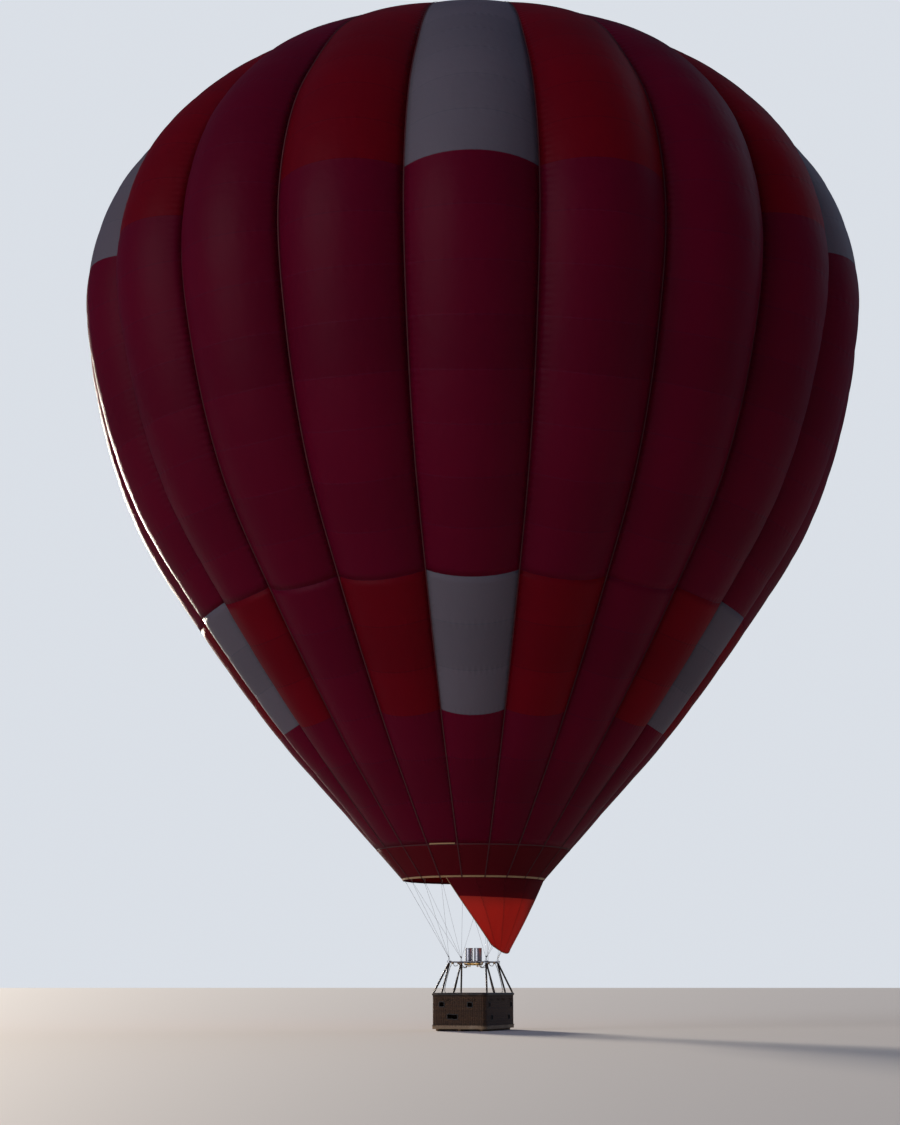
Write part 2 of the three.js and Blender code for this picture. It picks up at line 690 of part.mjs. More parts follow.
// Padded rim on the walls, with a rail over each bulkhead and divider
function makeRim() {
  const bottom = WALL_TOP + SEAT;
  // Section of the rim: distance out from the middle of the wall, height
  const section = [
    [-RIM_HALF_WIDTH, bottom],
    [RIM_HALF_WIDTH, bottom],
    [RIM_HALF_WIDTH, RIM_TOP - RIM_CHAMFER],
    [RIM_HALF_WIDTH - RIM_CHAMFER, RIM_TOP],
    [-RIM_HALF_WIDTH + RIM_CHAMFER, RIM_TOP],
    [-RIM_HALF_WIDTH, RIM_TOP - RIM_CHAMFER],
  ];
  const points = [];
  for (let corner = 0; corner < 4; corner += 1) {
    const x = (corner === 0 || corner === 3 ? 1 : -1) * (BASKET_HALF_X - CORNER_RADIUS);
    const y = (corner < 2 ? 1 : -1) * (BASKET_HALF_Y - CORNER_RADIUS);
    for (let turn = 0; turn <= RIM_CORNER_STEPS; turn += 1) {
      const angle = ((corner + turn / RIM_CORNER_STEPS) * Math.PI) / 2;
      for (const [out, height] of section) {
        const reach = CORNER_RADIUS - WALL / 2 + out;
        points.push(new THREE.Vector3(x + reach * Math.cos(angle), y + reach * Math.sin(angle), height));
      }
    }
  }
  const triangles = [];
  const sides = section.length;
  const count = points.length;
  for (let first = 0; first < count; first += sides) {
    for (let side = 0; side < sides; side += 1) {
      const after = (side + 1) % sides;
      const next = (first + sides) % count;
      triangles.push(first + side, next + side, next + after, first + side, next + after, first + after);
    }
  }
  const shape = new THREE.Shape(section.map(([out, height]) => new THREE.Vector2(out, height)));
  // A rail of the rim's section along Y from the origin
  const rail = (length) => new THREE.ExtrudeGeometry(shape, { depth: length, bevelEnabled: false })
    .rotateX(Math.PI / 2)
    .translate(0, length, 0);
  const pieces = [fromTriangles(points, triangles)];
  const span = 2 * BASKET_HALF_X - WALL;
  const reach = BASKET_HALF_Y - WALL / 2 - BULKHEAD_PLACE;
  for (const side of [-1, 1]) {
    pieces.push(rail(span).rotateZ(Math.PI / 2).translate(span / 2, side * BULKHEAD_PLACE, 0));
    pieces.push(rail(reach).translate(0, side > 0 ? BULKHEAD_PLACE : -BULKHEAD_PLACE - reach, 0));
  }
  addPiece('padded_rim', 'rim_leather', join(pieces));
}

// Uprights: two from the rim to each corner of the burner frame, cut level at both ends
function makeUprights() {
  const foot = RIM_TOP + SEAT;
  const head = FRAME_HEIGHT - CORNER_BLOCK[2] / 2 - SEAT;
  const footX = BASKET_HALF_X - WALL / 2;
  for (const [endName, signY] of [['front', -1], ['back', 1]]) {
    for (const [sideName, signX] of [['left', -1], ['right', 1]]) {
      for (const upright of UPRIGHTS) {
        const geometry = new THREE.CylinderGeometry(UPRIGHT_RADIUS, UPRIGHT_RADIUS, head - foot, 10)
          .rotateX(Math.PI / 2)
          .translate(0, 0, (head - foot) / 2);
        const leanX = (FRAME_HALF - footX) / (head - foot);
        const leanY = (upright.head - upright.foot) / (head - foot);
        const lean = new THREE.Matrix4().set(
          1, 0, signX * leanX, signX * footX,
          0, 1, signY * leanY, signY * upright.foot,
          0, 0, 1, foot,
          0, 0, 0, 1,
        );
        const name = `upright_${endName}_${sideName}_${upright.name}`;
        addPiece(name, 'upright_cover', geometry.applyMatrix4(lean));
      }
    }
  }
}

// Fuel cylinders in the pilot's bay
function makeCylinders() {
  const floor = RUNNER_SIZE[2] + FLOOR_THICKNESS + 2 * SEAT;
  for (const [endName, signY] of [['front', -1], ['back', 1]]) {
    for (const [sideName, signX] of [['left', -1], ['right', 1]]) {
      const cylinder = turned(CYLINDER_SECTION, 20).translate(signX * CYLINDER_X, signY * CYLINDER_Y, floor);
      addPiece(`fuel_cylinder_${endName}_${sideName}`, 'cylinder_steel', cylinder);
    }
  }
}

makeGores();
makeMouthBand();
makeCrown();
makeValve();
makeScoop();
makeWires();
makeBurnerFrame();
makeGimbal();
makeBurners();
makeUprights();
makeFloor();
makeWalls();
makeBulkheads();
makeRim();
makeCylinders();

balloon.position.z = -LIFT_CENTRE;
const model = new THREE.Group();
model.add(balloon);

export default model;
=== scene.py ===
# %% [markdown]
# # A hot air balloon, dressed
# The imported model is the frame: metres, +Z up, with its origin at the envelope's centre of lift, 22.9 m
# above the ground. This lesson puts cloth, tapes, willow, leather and metal over it, a piece at a time.
# The frame is loaded first. The dressed balloon has to stay the same size.

# %% Load the frame
import math

import bmesh
import bpy
import numpy as np
from mathutils import Matrix, Vector


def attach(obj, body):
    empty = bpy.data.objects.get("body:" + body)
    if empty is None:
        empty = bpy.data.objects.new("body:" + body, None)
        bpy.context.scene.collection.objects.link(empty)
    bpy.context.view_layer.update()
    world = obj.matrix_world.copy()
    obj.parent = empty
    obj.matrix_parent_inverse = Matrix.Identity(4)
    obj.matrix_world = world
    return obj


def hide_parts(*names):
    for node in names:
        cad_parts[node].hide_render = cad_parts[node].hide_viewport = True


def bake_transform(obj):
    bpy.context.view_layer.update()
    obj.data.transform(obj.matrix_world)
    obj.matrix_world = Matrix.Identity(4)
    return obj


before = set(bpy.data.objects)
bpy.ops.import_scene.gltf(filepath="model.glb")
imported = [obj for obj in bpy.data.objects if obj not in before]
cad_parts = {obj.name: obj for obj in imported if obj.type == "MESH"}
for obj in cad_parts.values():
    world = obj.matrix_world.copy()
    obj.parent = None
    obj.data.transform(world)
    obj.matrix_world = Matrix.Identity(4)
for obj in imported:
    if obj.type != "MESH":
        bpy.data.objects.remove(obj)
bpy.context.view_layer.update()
LIFT_CENTRE = 22.9  # height of the origin above the ground

# %% [markdown]
# ## Camera
# The photograph looks up at the balloon from about 61 m away and 1.3 m above the ground, 18 degrees round
# from the short end of the basket. The lens sees the long side of the picture as 36 mm of film, and its
# shift stays zero, so that the other views need nothing undone.

# %% Camera at the photograph's viewing angle
VIEW_AZIMUTH = math.radians(18)
CAMERA_AWAY = 61  # metres, measured level
CAMERA_HEIGHT = 1.33  # metres above the ground
LOOK_UP = 12.45  # degrees
LOOK_LEFT = 0.69  # degrees
camera_data = bpy.data.cameras.new("camera")
camera_data.lens = 61.4
camera_data.sensor_width = 36
camera_data.clip_end = 4000
camera = bpy.data.objects.new("camera", camera_data)
camera.location = (
    CAMERA_AWAY * math.sin(VIEW_AZIMUTH), -CAMERA_AWAY * math.cos(VIEW_AZIMUTH),
    CAMERA_HEIGHT - LIFT_CENTRE
)
camera.rotation_euler = (math.radians(90 + LOOK_UP), 0, VIEW_AZIMUTH + math.radians(LOOK_LEFT))
bpy.context.scene.collection.objects.link(camera)
bpy.context.scene.camera = camera
print("camera at", [round(value, 2) for value in camera.location])

# %% [markdown]
# ## Floor and light
# A pale floor and soft light, as in a studio. Nylon shows its colour best with light behind it, so the
# strongest soft lamp stands low at the back left and glows through the cloth. A cooler one at the back
# right lights the edges of the gores, and a wide one low at the front left keeps the near side readable.

# %% Floor, world and lamps
floor_mesh = bpy.data.meshes.new("floor")
FLOOR_RADIUS = 1500
FLOOR_SIDES = 96
floor_turns = [2 * math.pi * side / FLOOR_SIDES for side in range(FLOOR_SIDES)]
floor_rim = [(FLOOR_RADIUS * math.cos(t), FLOOR_RADIUS * math.sin(t), -LIFT_CENTRE) for t in floor_turns]
floor_mesh.from_pydata(floor_rim, [], [range(FLOOR_SIDES)])
floor = bpy.data.objects.new("floor", floor_mesh)
bpy.context.scene.collection.objects.link(floor)
floor_material = bpy.data.materials.new("pale_floor")
floor_material.use_nodes = True
floor_shader = floor_material.node_tree.nodes["Principled BSDF"]
floor_shader.inputs["Base Color"].default_value = (0.62, 0.6, 0.575, 1)
floor_shader.inputs["Roughness"].default_value = 0.9
floor_mesh.materials.append(floor_material)

world = bpy.data.worlds.new("studio")
bpy.context.scene.world = world
world.use_nodes = True
backdrop = world.node_tree.nodes["Background"]
backdrop.inputs["Color"].default_value = (0.74, 0.78, 0.84, 1)
backdrop.inputs["Strength"].default_value = 0.95
dimmed = world.node_tree.nodes.new("ShaderNodeBackground")
dimmed.inputs["Color"].default_value = (0.45, 0.6, 1.0, 1)
dimmed.inputs["Strength"].default_value = 0.15
rays = world.node_tree.nodes.new("ShaderNodeLightPath")
chosen = world.node_tree.nodes.new("ShaderNodeMixShader")
world.node_tree.links.new(rays.outputs["Is Camera Ray"], chosen.inputs[0])
world.node_tree.links.new(dimmed.outputs[0], chosen.inputs[1])
world.node_tree.links.new(backdrop.outputs[0], chosen.inputs[2])
world.node_tree.links.new(chosen.outputs[0], world.node_tree.nodes["World Output"].inputs["Surface"])

LAMPS = [  # name, azimuth it comes from, elevation, strength, softness in degrees, colour
    ("low_sun", -158, 9, 5.4, 10, (1.0, 0.88, 0.74)),
    ("edge_light", 125, 34, 0.24, 40, (0.6, 0.76, 1.0)),
    ("front_fill", -50, 8, 1.5, 45, (0.96, 0.94, 1.0)),
]
for name, azimuth, elevation, strength, softness, colour in LAMPS:
    lamp_data = bpy.data.lights.new(name, "SUN")
    lamp_data.energy = strength
    lamp_data.angle = math.radians(softness)
    lamp_data.color = colour
    lamp = bpy.data.objects.new(name, lamp_data)
    turn = VIEW_AZIMUTH + math.radians(azimuth)
    level = math.cos(math.radians(elevation))
    towards = Vector((math.sin(turn) * level, -math.cos(turn) * level, math.sin(math.radians(elevation))))
    lamp.rotation_euler = towards.to_track_quat("Z", "Y").to_euler()
    bpy.context.scene.collection.objects.link(lamp)
bpy.context.scene.view_settings.view_transform = "Standard"
print("lamps:", len(LAMPS))

# %% [markdown]
# ## Helpers for trees of nodes
# Geometry Nodes and shaders are both trees. One helper adds a node with its inputs, either values or
# links, and another makes a group with named sockets, so that each tree below reads like a recipe.

# %% Node helpers
def fill(tree, node, inputs):
    # Each input is a link from another node's socket, or a value
    for key, value in inputs.items():
        if isinstance(value, bpy.types.NodeSocket):
            tree.links.new(value, node.inputs[key])
        else:
            node.inputs[key].default_value = value


def add(tree, kind, inputs=None, **settings):
    node = tree.nodes.new(kind)
    for key, value in settings.items():
        setattr(node, key, value)
    fill(tree, node, inputs or {})
    return node


def calc(tree, operation, *values):
    return add(tree, "ShaderNodeMath", dict(enumerate(values)), operation=operation).outputs[0]


def vector_calc(tree, operation, *values):
    return add(tree, "ShaderNodeVectorMath", dict(enumerate(values)), operation=operation).outputs["Vector"]


def scaled(tree, vector, factor):
    inputs = {0: vector, "Scale": factor}
    return add(tree, "ShaderNodeVectorMath", inputs, operation="SCALE").outputs["Vector"]


def smooth_range(tree, value, low, high):
    inputs = {"Value": value, "From Min": low, "From Max": high}
    return add(tree, "ShaderNodeMapRange", inputs, interpolation_type="SMOOTHSTEP").outputs["Result"]


def mixed(tree, factor, first, second, blend="MIX"):
    node = add(tree, "ShaderNodeMix", {0: factor}, data_type="RGBA", blend_type=blend)
    for socket, value in ((node.inputs[6], first), (node.inputs[7], second)):
        if isinstance(value, bpy.types.NodeSocket):
            tree.links.new(value, socket)
        else:
            socket.default_value = value
    return node.outputs[2]


def new_group(name, kind, inputs, outputs):
    # inputs: name, kind of socket and value of each; outputs: name and kind
    tree = bpy.data.node_groups.new(name, kind)
    for title, socket_kind, value in inputs:
        socket = tree.interface.new_socket(title, in_out="INPUT", socket_type="NodeSocket" + socket_kind)
        if value is not None:
            socket.default_value = value
    for title, socket_kind in outputs:
        tree.interface.new_socket(title, in_out="OUTPUT", socket_type="NodeSocket" + socket_kind)
    enter = tree.nodes.new("NodeGroupInput").outputs
    leave = tree.nodes.new("NodeGroupOutput").inputs
    return tree, enter, leave


def colour_of(red, green, blue):
    # sRGB from 0 to 255 to Blender's linear colour
    linear = [
        ((value / 255 + 0.055) / 1.055) ** 2.4 if value > 10 else value / 255 / 12.92
        for value in (red, green, blue)
    ]
    return (*linear, 1.0)


print("helpers ready")

# %% [markdown]
# ## The envelope's shape
# A balloon's gore is a strip of cloth between two load tapes. The tapes carry the load and follow the
# meridian, and hot air pushes the cloth between them out on an arc. So one meridian curve and one arc
# give every point. The meridian is the same smooth curve through the same places as in the part's source.

# %% Meridian and gore
GORES = 20
GORE_PITCH = 2 * math.pi / GORES
MOUTH_HEIGHT = 4.56
MOUTH_BAND_TOP = 5.48
VENT_RADIUS = 3.0
SHEET = 0.010  # thickness of the envelope's cloth
SEAT = 0.0003  # gap that is left where two pieces lie against each other
ALONG_X, ALONG_Y, UP = Vector((1, 0, 0)), Vector((0, 1, 0)), Vector((0, 0, 1))
MOUTH_BULGE, FULL_BULGE, CROWN_BULGE = 0.04, 0.25, 0.02
FULL_FROM, FULL_UP_TO, CROWN_HEIGHT = 9.76, 27.39, 32.39  # heights of the full bulge, and of the crown
MERIDIAN = [  # height above the ground, radius over the middle of a gore
    (MOUTH_HEIGHT, 2.21),
    (6.73, 4.14),
    (9.05, 6.21),
    (12.58, 8.84),
    (15.83, 10.91),
    (19.46, 12.22),
    (22.9, 12.73),
    (26.2, 11.92),
    (28.9, 9.88),
    (30.72, 7.53),
    (31.8, 5.0),
    (32.26, 2.79),
    (CROWN_HEIGHT, 0.0),
]


def meridian(share):
    # Centripetal Catmull-Rom curve through MERIDIAN: returns radius, height
    points = [Vector((radius * 1000, height * 1000)) for height, radius in MERIDIAN]
    place = share * (len(points) - 1)
    start = min(int(place), len(points) - 2)
    part = place - start
    p1, p2 = points[start], points[start + 1]
    p0 = points[start - 1] if start > 0 else 2 * p1 - p2
    p3 = points[start + 2] if start + 2 < len(points) else 2 * p2 - p1
    d0, d1, d2 = ((b - a).length_squared ** 0.25 for a, b in ((p0, p1), (p1, p2), (p2, p3)))
    t1 = ((p1 - p0) / d0 - (p2 - p0) / (d0 + d1) + (p2 - p1) / d1) * d1
    t2 = ((p2 - p1) / d1 - (p3 - p1) / (d1 + d2) + (p3 - p2) / d2) * d1
    point = p1 + t1 * part + (3 * (p2 - p1) - 2 * t1 - t2) * part**2 + (2 * (p1 - p2) + t1 + t2) * part**3
    return point.x / 1000, point.y / 1000


FINE_STEPS = 3000
FINE = [meridian(index / FINE_STEPS) for index in range(FINE_STEPS + 1)]
FINE_RADIUS = np.array([radius for radius, _ in FINE])
FINE_HEIGHT = np.array([height for _, height in FINE])
FINE_LENGTH = np.concatenate([[0], np.cumsum(np.hypot(np.diff(FINE_RADIUS), np.diff(FINE_HEIGHT)))])
UPPER = slice(FINE_STEPS // 2, None)  # from the widest place up


def length_at_height(height):
    return float(np.interp(height, FINE_HEIGHT, FINE_LENGTH))


def length_at_crown_radius(radius):
    return float(np.interp(-radius, -FINE_RADIUS[UPPER], FINE_LENGTH[UPPER]))


def crown_height(radius):
    return float(np.interp(-radius, -FINE_RADIUS[UPPER], FINE_HEIGHT[UPPER]))


def smoothstep(value, low, high):
    part = min(max((value - low) / (high - low), 0), 1)
    return part * part * (3 - 2 * part)


def bulge_share(height):
    # The arc's rise as a share of its chord: flat at the mouth, full above it, flat again at the crown
    lower = MOUTH_BULGE + (FULL_BULGE - MOUTH_BULGE) * smoothstep(height, MOUTH_HEIGHT, FULL_FROM)
    return lower + (CROWN_BULGE - lower) * smoothstep(height, FULL_UP_TO, CROWN_HEIGHT)


def gore_section(length):
    # At a length along the meridian: height, distance to the chord, radius of the arc, half its angle
    radius = float(np.interp(length, FINE_LENGTH, FINE_RADIUS))
    height = float(np.interp(length, FINE_LENGTH, FINE_HEIGHT))
    bulge = bulge_share(height)
    half = GORE_PITCH / 2
    tape_radius = radius / (math.cos(half) + 2 * bulge * math.sin(half))
    half_arc = 2 * math.atan(2 * bulge)
    arc_radius = (tape_radius * math.sin(half) - SEAT / 2) / math.sin(half_arc)
    return height, tape_radius * math.cos(half), arc_radius, half_arc


def around(azimuth, radius, height, aside=0.0):
    # Azimuth 0 faces -Y and grows towards +X; heights are above the ground
    return Vector((
        radius * math.sin(azimuth) + aside * math.cos(azimuth),
        -radius * math.cos(azimuth) + aside * math.sin(azimuth),
        height - LIFT_CENTRE,
    ))


def gore_point(length, side, outwards=0.0):
    # A point of gore 0, side from -1 at its left tape to 1 at its right one
    height, chord, arc_radius, half_arc = gore_section(length)
    angle = side * half_arc
    reach = chord + (arc_radius + outwards) * math.cos(angle) - arc_radius * math.cos(half_arc)
    return around(0, reach, height, (arc_radius + outwards) * math.sin(angle))


print("meridian", round(FINE_LENGTH[-1], 2), "m long; crown at", round(FINE_HEIGHT[-1], 2))

# %% [markdown]
# ## Ripstop cloth
# Balloon cloth is thin coated nylon with a fine square grid of thicker threads. It is sewn from level
# panels, so a double layer shows at every panel seam, and it puckers where it meets the load tapes. On
# the gores the seams are also a little lighter, a painted highlight of seams catching the light, and
# towards the tapes the light through the cloth is darkened, a painted shade in the valleys between gores.
# One shader group draws all of that from a place on the gore: side, panels up, metres up. Each colour of
# cloth then has a material of its own, a mix of a coated surface and a translucent one.

# %% Shader group for sewn panels of ripstop
THREAD_PITCH = 0.012  # metres from one thick thread to the next
THREAD_EDGE = 0.88  # share of the pitch at which the thick thread begins
PUCKER_PITCH, PUCKER_DEPTH = 0.21, 0.012  # metres, along a load tape
GATHERS = 46.0  # radians of the gathers' wave at a seam, from a gore's middle to its tape
DOUBLE_LAYER_AND_VALLEY_SHADE = (0.01, 0.002, 0.003, 1)  # what a double layer lets through, and near the load tapes a painted shade
GRID_LIGHTER = 0.03  # how much lighter the thick threads are
sewn, enter, leave = new_group(
    "sewn_ripstop",
    "ShaderNodeTree",
    [
        ("Place", "Vector", None),
        ("Run", "Vector", None),
        ("Colour", "Color", (0.3, 0.02, 0.05, 1)),
        ("Seam Colour", "Color", (0.2, 0.02, 0.04, 1)),
        ("Panel Pitch", "Float", 1.45),
        ("Seam Width", "Float", 0.026),
        ("Grid", "Float", 0.02),
    ],
    [("Colour", "Color"), ("Thin Colour", "Color"), ("Height", "Float")],
)
place = add(sewn, "ShaderNodeSeparateXYZ", {0: enter["Place"]}).outputs
side = calc(sewn, "ABSOLUTE", place["X"])
from_seam = calc(sewn, "PINGPONG", place["Y"], 0.5)
metres_off = calc(sewn, "MULTIPLY", from_seam, enter["Panel Pitch"])
seam_edge = calc(sewn, "MULTIPLY", enter["Seam Width"], 0.45)
seam = calc(sewn, "SUBTRACT", 1.0, smooth_range(sewn, metres_off, seam_edge, enter["Seam Width"]))
near_tape = calc(sewn, "POWER", side, 9.0)
coordinates = add(sewn, "ShaderNodeTexCoord").outputs["Object"]
panel_number = calc(sewn, "FLOOR", place["Y"])
noise = {"Vector": coordinates, "Scale": 0.16, "Detail": 2.0}
gore_tone = add(sewn, "ShaderNodeTexNoise", noise).outputs[0]
panel_tone = add(sewn, "ShaderNodeTexWhiteNoise", {"W": panel_number}, noise_dimensions="1D").outputs["Value"]
noise = {"Vector": coordinates, "Scale": 1.3, "Detail": 4.0, "Roughness": 0.55}
wrinkle = add(sewn, "ShaderNodeTexNoise", noise).outputs[0]
broad_tone = calc(sewn, "MULTIPLY_ADD", gore_tone, 0.24, 0.8)
tone = calc(sewn, "ADD", broad_tone, calc(sewn, "MULTIPLY", panel_tone, 0.1))
threads = add(sewn, "ShaderNodeSeparateXYZ", {0: scaled(sewn, enter["Run"], 1 / THREAD_PITCH)}).outputs
across, upwards = (
    calc(sewn, "GREATER_THAN", calc(sewn, "FRACT", threads[axis]), THREAD_EDGE) for axis in "XY"
)
grid = calc(sewn, "MAXIMUM", across, upwards)
lit = calc(sewn, "MULTIPLY_ADD", grid, enter["Grid"], tone)
level = add(sewn, "ShaderNodeCombineXYZ", {0: lit, 1: lit, 2: lit}).outputs[0]
toned = vector_calc(sewn, "MULTIPLY", enter["Colour"], level)
# Seams are mixed towards the seam colour; on the gores' nylon that colour is lighter, a painted highlight of
# seams catching the light
shown = mixed(sewn, calc(sewn, "MULTIPLY", seam, 0.4), toned, enter["Seam Colour"])
sewn.links.new(shown, leave["Colour"])
thin = mixed(sewn, calc(sewn, "MULTIPLY", seam, 0.3), toned, DOUBLE_LAYER_AND_VALLEY_SHADE)
# Towards the load tapes the light through the cloth is darkened over a band far wider than a tape: painted
# shade in the valleys between gores
thin = mixed(sewn, calc(sewn, "MULTIPLY", near_tape, 0.5), thin, DOUBLE_LAYER_AND_VALLEY_SHADE)
sewn.links.new(thin, leave["Thin Colour"])
pucker_wave = calc(sewn, "SINE", calc(sewn, "MULTIPLY", place["Z"], 2 * math.pi / PUCKER_PITCH))
puckers = calc(sewn, "MULTIPLY", calc(sewn, "MULTIPLY", pucker_wave, near_tape), PUCKER_DEPTH)
gathers = calc(sewn, "SINE", calc(sewn, "MULTIPLY", place["X"], GATHERS))
near_seam = smooth_range(sewn, from_seam, 0.16, 0.0)
seam_gathers = calc(sewn, "MULTIPLY", calc(sewn, "MULTIPLY", gathers, near_seam), 0.003)
height = calc(sewn, "ADD", calc(sewn, "MULTIPLY", wrinkle, 0.03), calc(sewn, "ADD", puckers, seam_gathers))
sewn.links.new(calc(sewn, "ADD", height, calc(sewn, "MULTIPLY", seam, 0.002)), leave["Height"])
print("group:", sewn.name, len(sewn.nodes), "nodes")


# %% Cloth materials
def cloth_material(name, colour, seam_colour, through, share, roughness):
    # through tints the light that comes from behind, and share is how much of the cloth is translucent
    material = bpy.data.materials.new(name)
    material.use_nodes = True
    tree = material.node_tree
    surface = tree.nodes["Principled BSDF"]
    surface.inputs["Roughness"].default_value = roughness
    surface.inputs["Specular IOR Level"].default_value = 0.1
    where = add(tree, "ShaderNodeAttribute", attribute_name="gore_place").outputs["Vector"]
    run = add(tree, "ShaderNodeAttribute", attribute_name="cloth_run").outputs["Vector"]
    cloth = tree.nodes.new("ShaderNodeGroup")
    cloth.node_tree = sewn
    values = {"Place": where, "Run": run, "Colour": colour, "Seam Colour": seam_colour}
    fill(tree, cloth, {**values, "Grid": GRID_LIGHTER})
    relief = {"Height": cloth.outputs["Height"], "Distance": 1.0, "Strength": 0.9}
    bump = add(tree, "ShaderNodeBump", relief)
    tree.links.new(cloth.outputs["Colour"], surface.inputs["Base Color"])
    tree.links.new(bump.outputs[0], surface.inputs["Normal"])
    glow = add(tree, "ShaderNodeBsdfTranslucent", {"Normal": bump.outputs[0]})
    tinted = mixed(tree, 1.0, cloth.outputs["Thin Colour"], through, "MULTIPLY")
    tree.links.new(tinted, glow.inputs["Color"])
    both = add(tree, "ShaderNodeMixShader", {0: share, 1: surface.outputs[0], 2: glow.outputs[0]})
    tree.links.new(both.outputs[0], tree.nodes["Material Output"].inputs["Surface"])
    return material


def cloth_row(name, colour, seam_colour, through, share, roughness):
    # The two colours are given from 0 to 255
    return cloth_material(name, colour_of(*colour), colour_of(*seam_colour), (*through, 1), share, roughness)


# The seam colours of these three nylons are lighter than the cloth: a painted highlight of seams catching the
# light
cloths = {
    "silver": cloth_row("silver_ripstop", (134, 129, 140), (142, 137, 146), (1.7, 0.8, 0.5), 0.5, 0.42),
    "red": cloth_row("red_ripstop", (118, 3, 28), (134, 20, 42), (4.5, 0.9, 0.6), 0.5, 0.5),
    "burgundy": cloth_row("burgundy_ripstop", (106, 1, 40), (118, 26, 58), (4.5, 0.9, 0.9), 0.4, 0.5),
}
print("cloths:", list(cloths))

# %% [markdown]
# ## Gores
# Each gore is two sheets, one below and one above the level seam under the widest part, because no
# cloth of this lesson is cut longer than 30 m. A row of points follows the arc between the tapes, six
# rows to a sewn panel, and the panel swells a little between its seams. The cloth bulges square to the
# meridian, so where the envelope leans out the middle of a seam hangs lower than its ends. The first gore
# is computed and the other nineteen are the same points turned about the axis. Solidify gives the cloth
# its 10 mm.

# %% Gore cloth
SECTIONS = [  # where it begins, panels in it, finishes of the four kinds of gore
    (length_at_height(MOUTH_BAND_TOP + SEAT), 3, ("burgundy", "burgundy", "burgundy", "burgundy")),
    (length_at_height(9.07), 3, ("red", "silver", "red", "burgundy")),
    (length_at_height(12.63), 8, ("burgundy", "burgundy", "burgundy", "burgundy")),
    (length_at_height(23.4), 11, ("red", "silver", "red", "burgundy")),
]
VENT_LENGTH = length_at_crown_radius(VENT_RADIUS)
ROWS_A_PANEL = 6
COLUMNS = 16
SEAM_END_SHARE = 0.44  # share of its drop by which a seam's ends are higher than its stated place
LEVEL_END = 2.0  # metres over which the seams become level towards the mouth and the vent
LEAN_STEP = 0.1  # metres along the meridian on each side, over which the cloth's lean is measured
SWELL = 0.012  # how far a panel swells between its seams


def seam_drop(length):
    # How far the middle of a seam hangs below its ends, along the meridian; above the widest part it rises
    _, _, arc_radius, half_arc = gore_section(length)
    bulge = arc_radius * (1 - math.cos(half_arc))
    steps = (length + LEAN_STEP, length - LEAN_STEP)
    above, below = (float(np.interp(step, FINE_LENGTH, FINE_RADIUS)) for step in steps)
    from_mouth = smoothstep(length, SECTIONS[0][0], SECTIONS[0][0] + LEVEL_END)
    from_vent = 1 - smoothstep(length, VENT_LENGTH - LEVEL_END, VENT_LENGTH)
    return bulge * (above - below) / (2 * LEAN_STEP) * from_mouth * from_vent


def gore_rows(sections, end):
    # Rows of a sheet: length along the meridian, panels from the sheet's lower edge, section of the row
    rows = []
    panels_below = 0
    for number, (start, panels, _) in enumerate(sections):
        stop = sections[number + 1][0] if number + 1 < len(sections) else end
        for step in range(panels * ROWS_A_PANEL):
            part = step / ROWS_A_PANEL
            rows.append((start + (stop - start) * part / panels, panels_below + part, number))
        panels_below += panels
    rows.append((end, panels_below, len(sections) - 1))
    return rows


def grid_mesh(name, points, columns, row_materials, materials, places, closed=False):
    # A mesh from rows of points, with the vectors that the cloth's shader reads
    across = columns if closed else columns + 1
    low = np.arange(len(points) // across - 1)[:, None] * across
    start, after = low + np.arange(columns), low + (np.arange(columns) + 1) % across
    quads = np.stack([start, after, after + across, start + across], axis=-1).reshape(-1, 4)
    mesh = bpy.data.meshes.new(name)
    mesh.from_pydata([tuple(point) for point in points], [], quads.tolist())
    mesh.shade_smooth()
    mesh.polygons.foreach_set("material_index", np.repeat(row_materials, columns))
    for title, values in places.items():
        attribute = mesh.attributes.new(title, "FLOAT_VECTOR", "POINT")
        attribute.data.foreach_set("vector", np.asarray(values, dtype=np.float32).ravel())
    for material in materials:
        mesh.materials.append(material)
    mesh.update()
    return mesh


def shown_object(name, mesh, body="balloon"):
    made = bpy.data.objects.new(name, mesh)
    bpy.context.scene.collection.objects.link(made)
    if body:
        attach(made, body)
    return made


def thicken(piece, thickness=SHEET):
    # The cloth keeps its outer face and grows inwards
    modifier = piece.modifiers.new("thickness", "SOLIDIFY")
    modifier.thickness, modifier.offset = thickness, -1


def area_of(mesh):
    return sum(polygon.area for polygon in mesh.polygons)


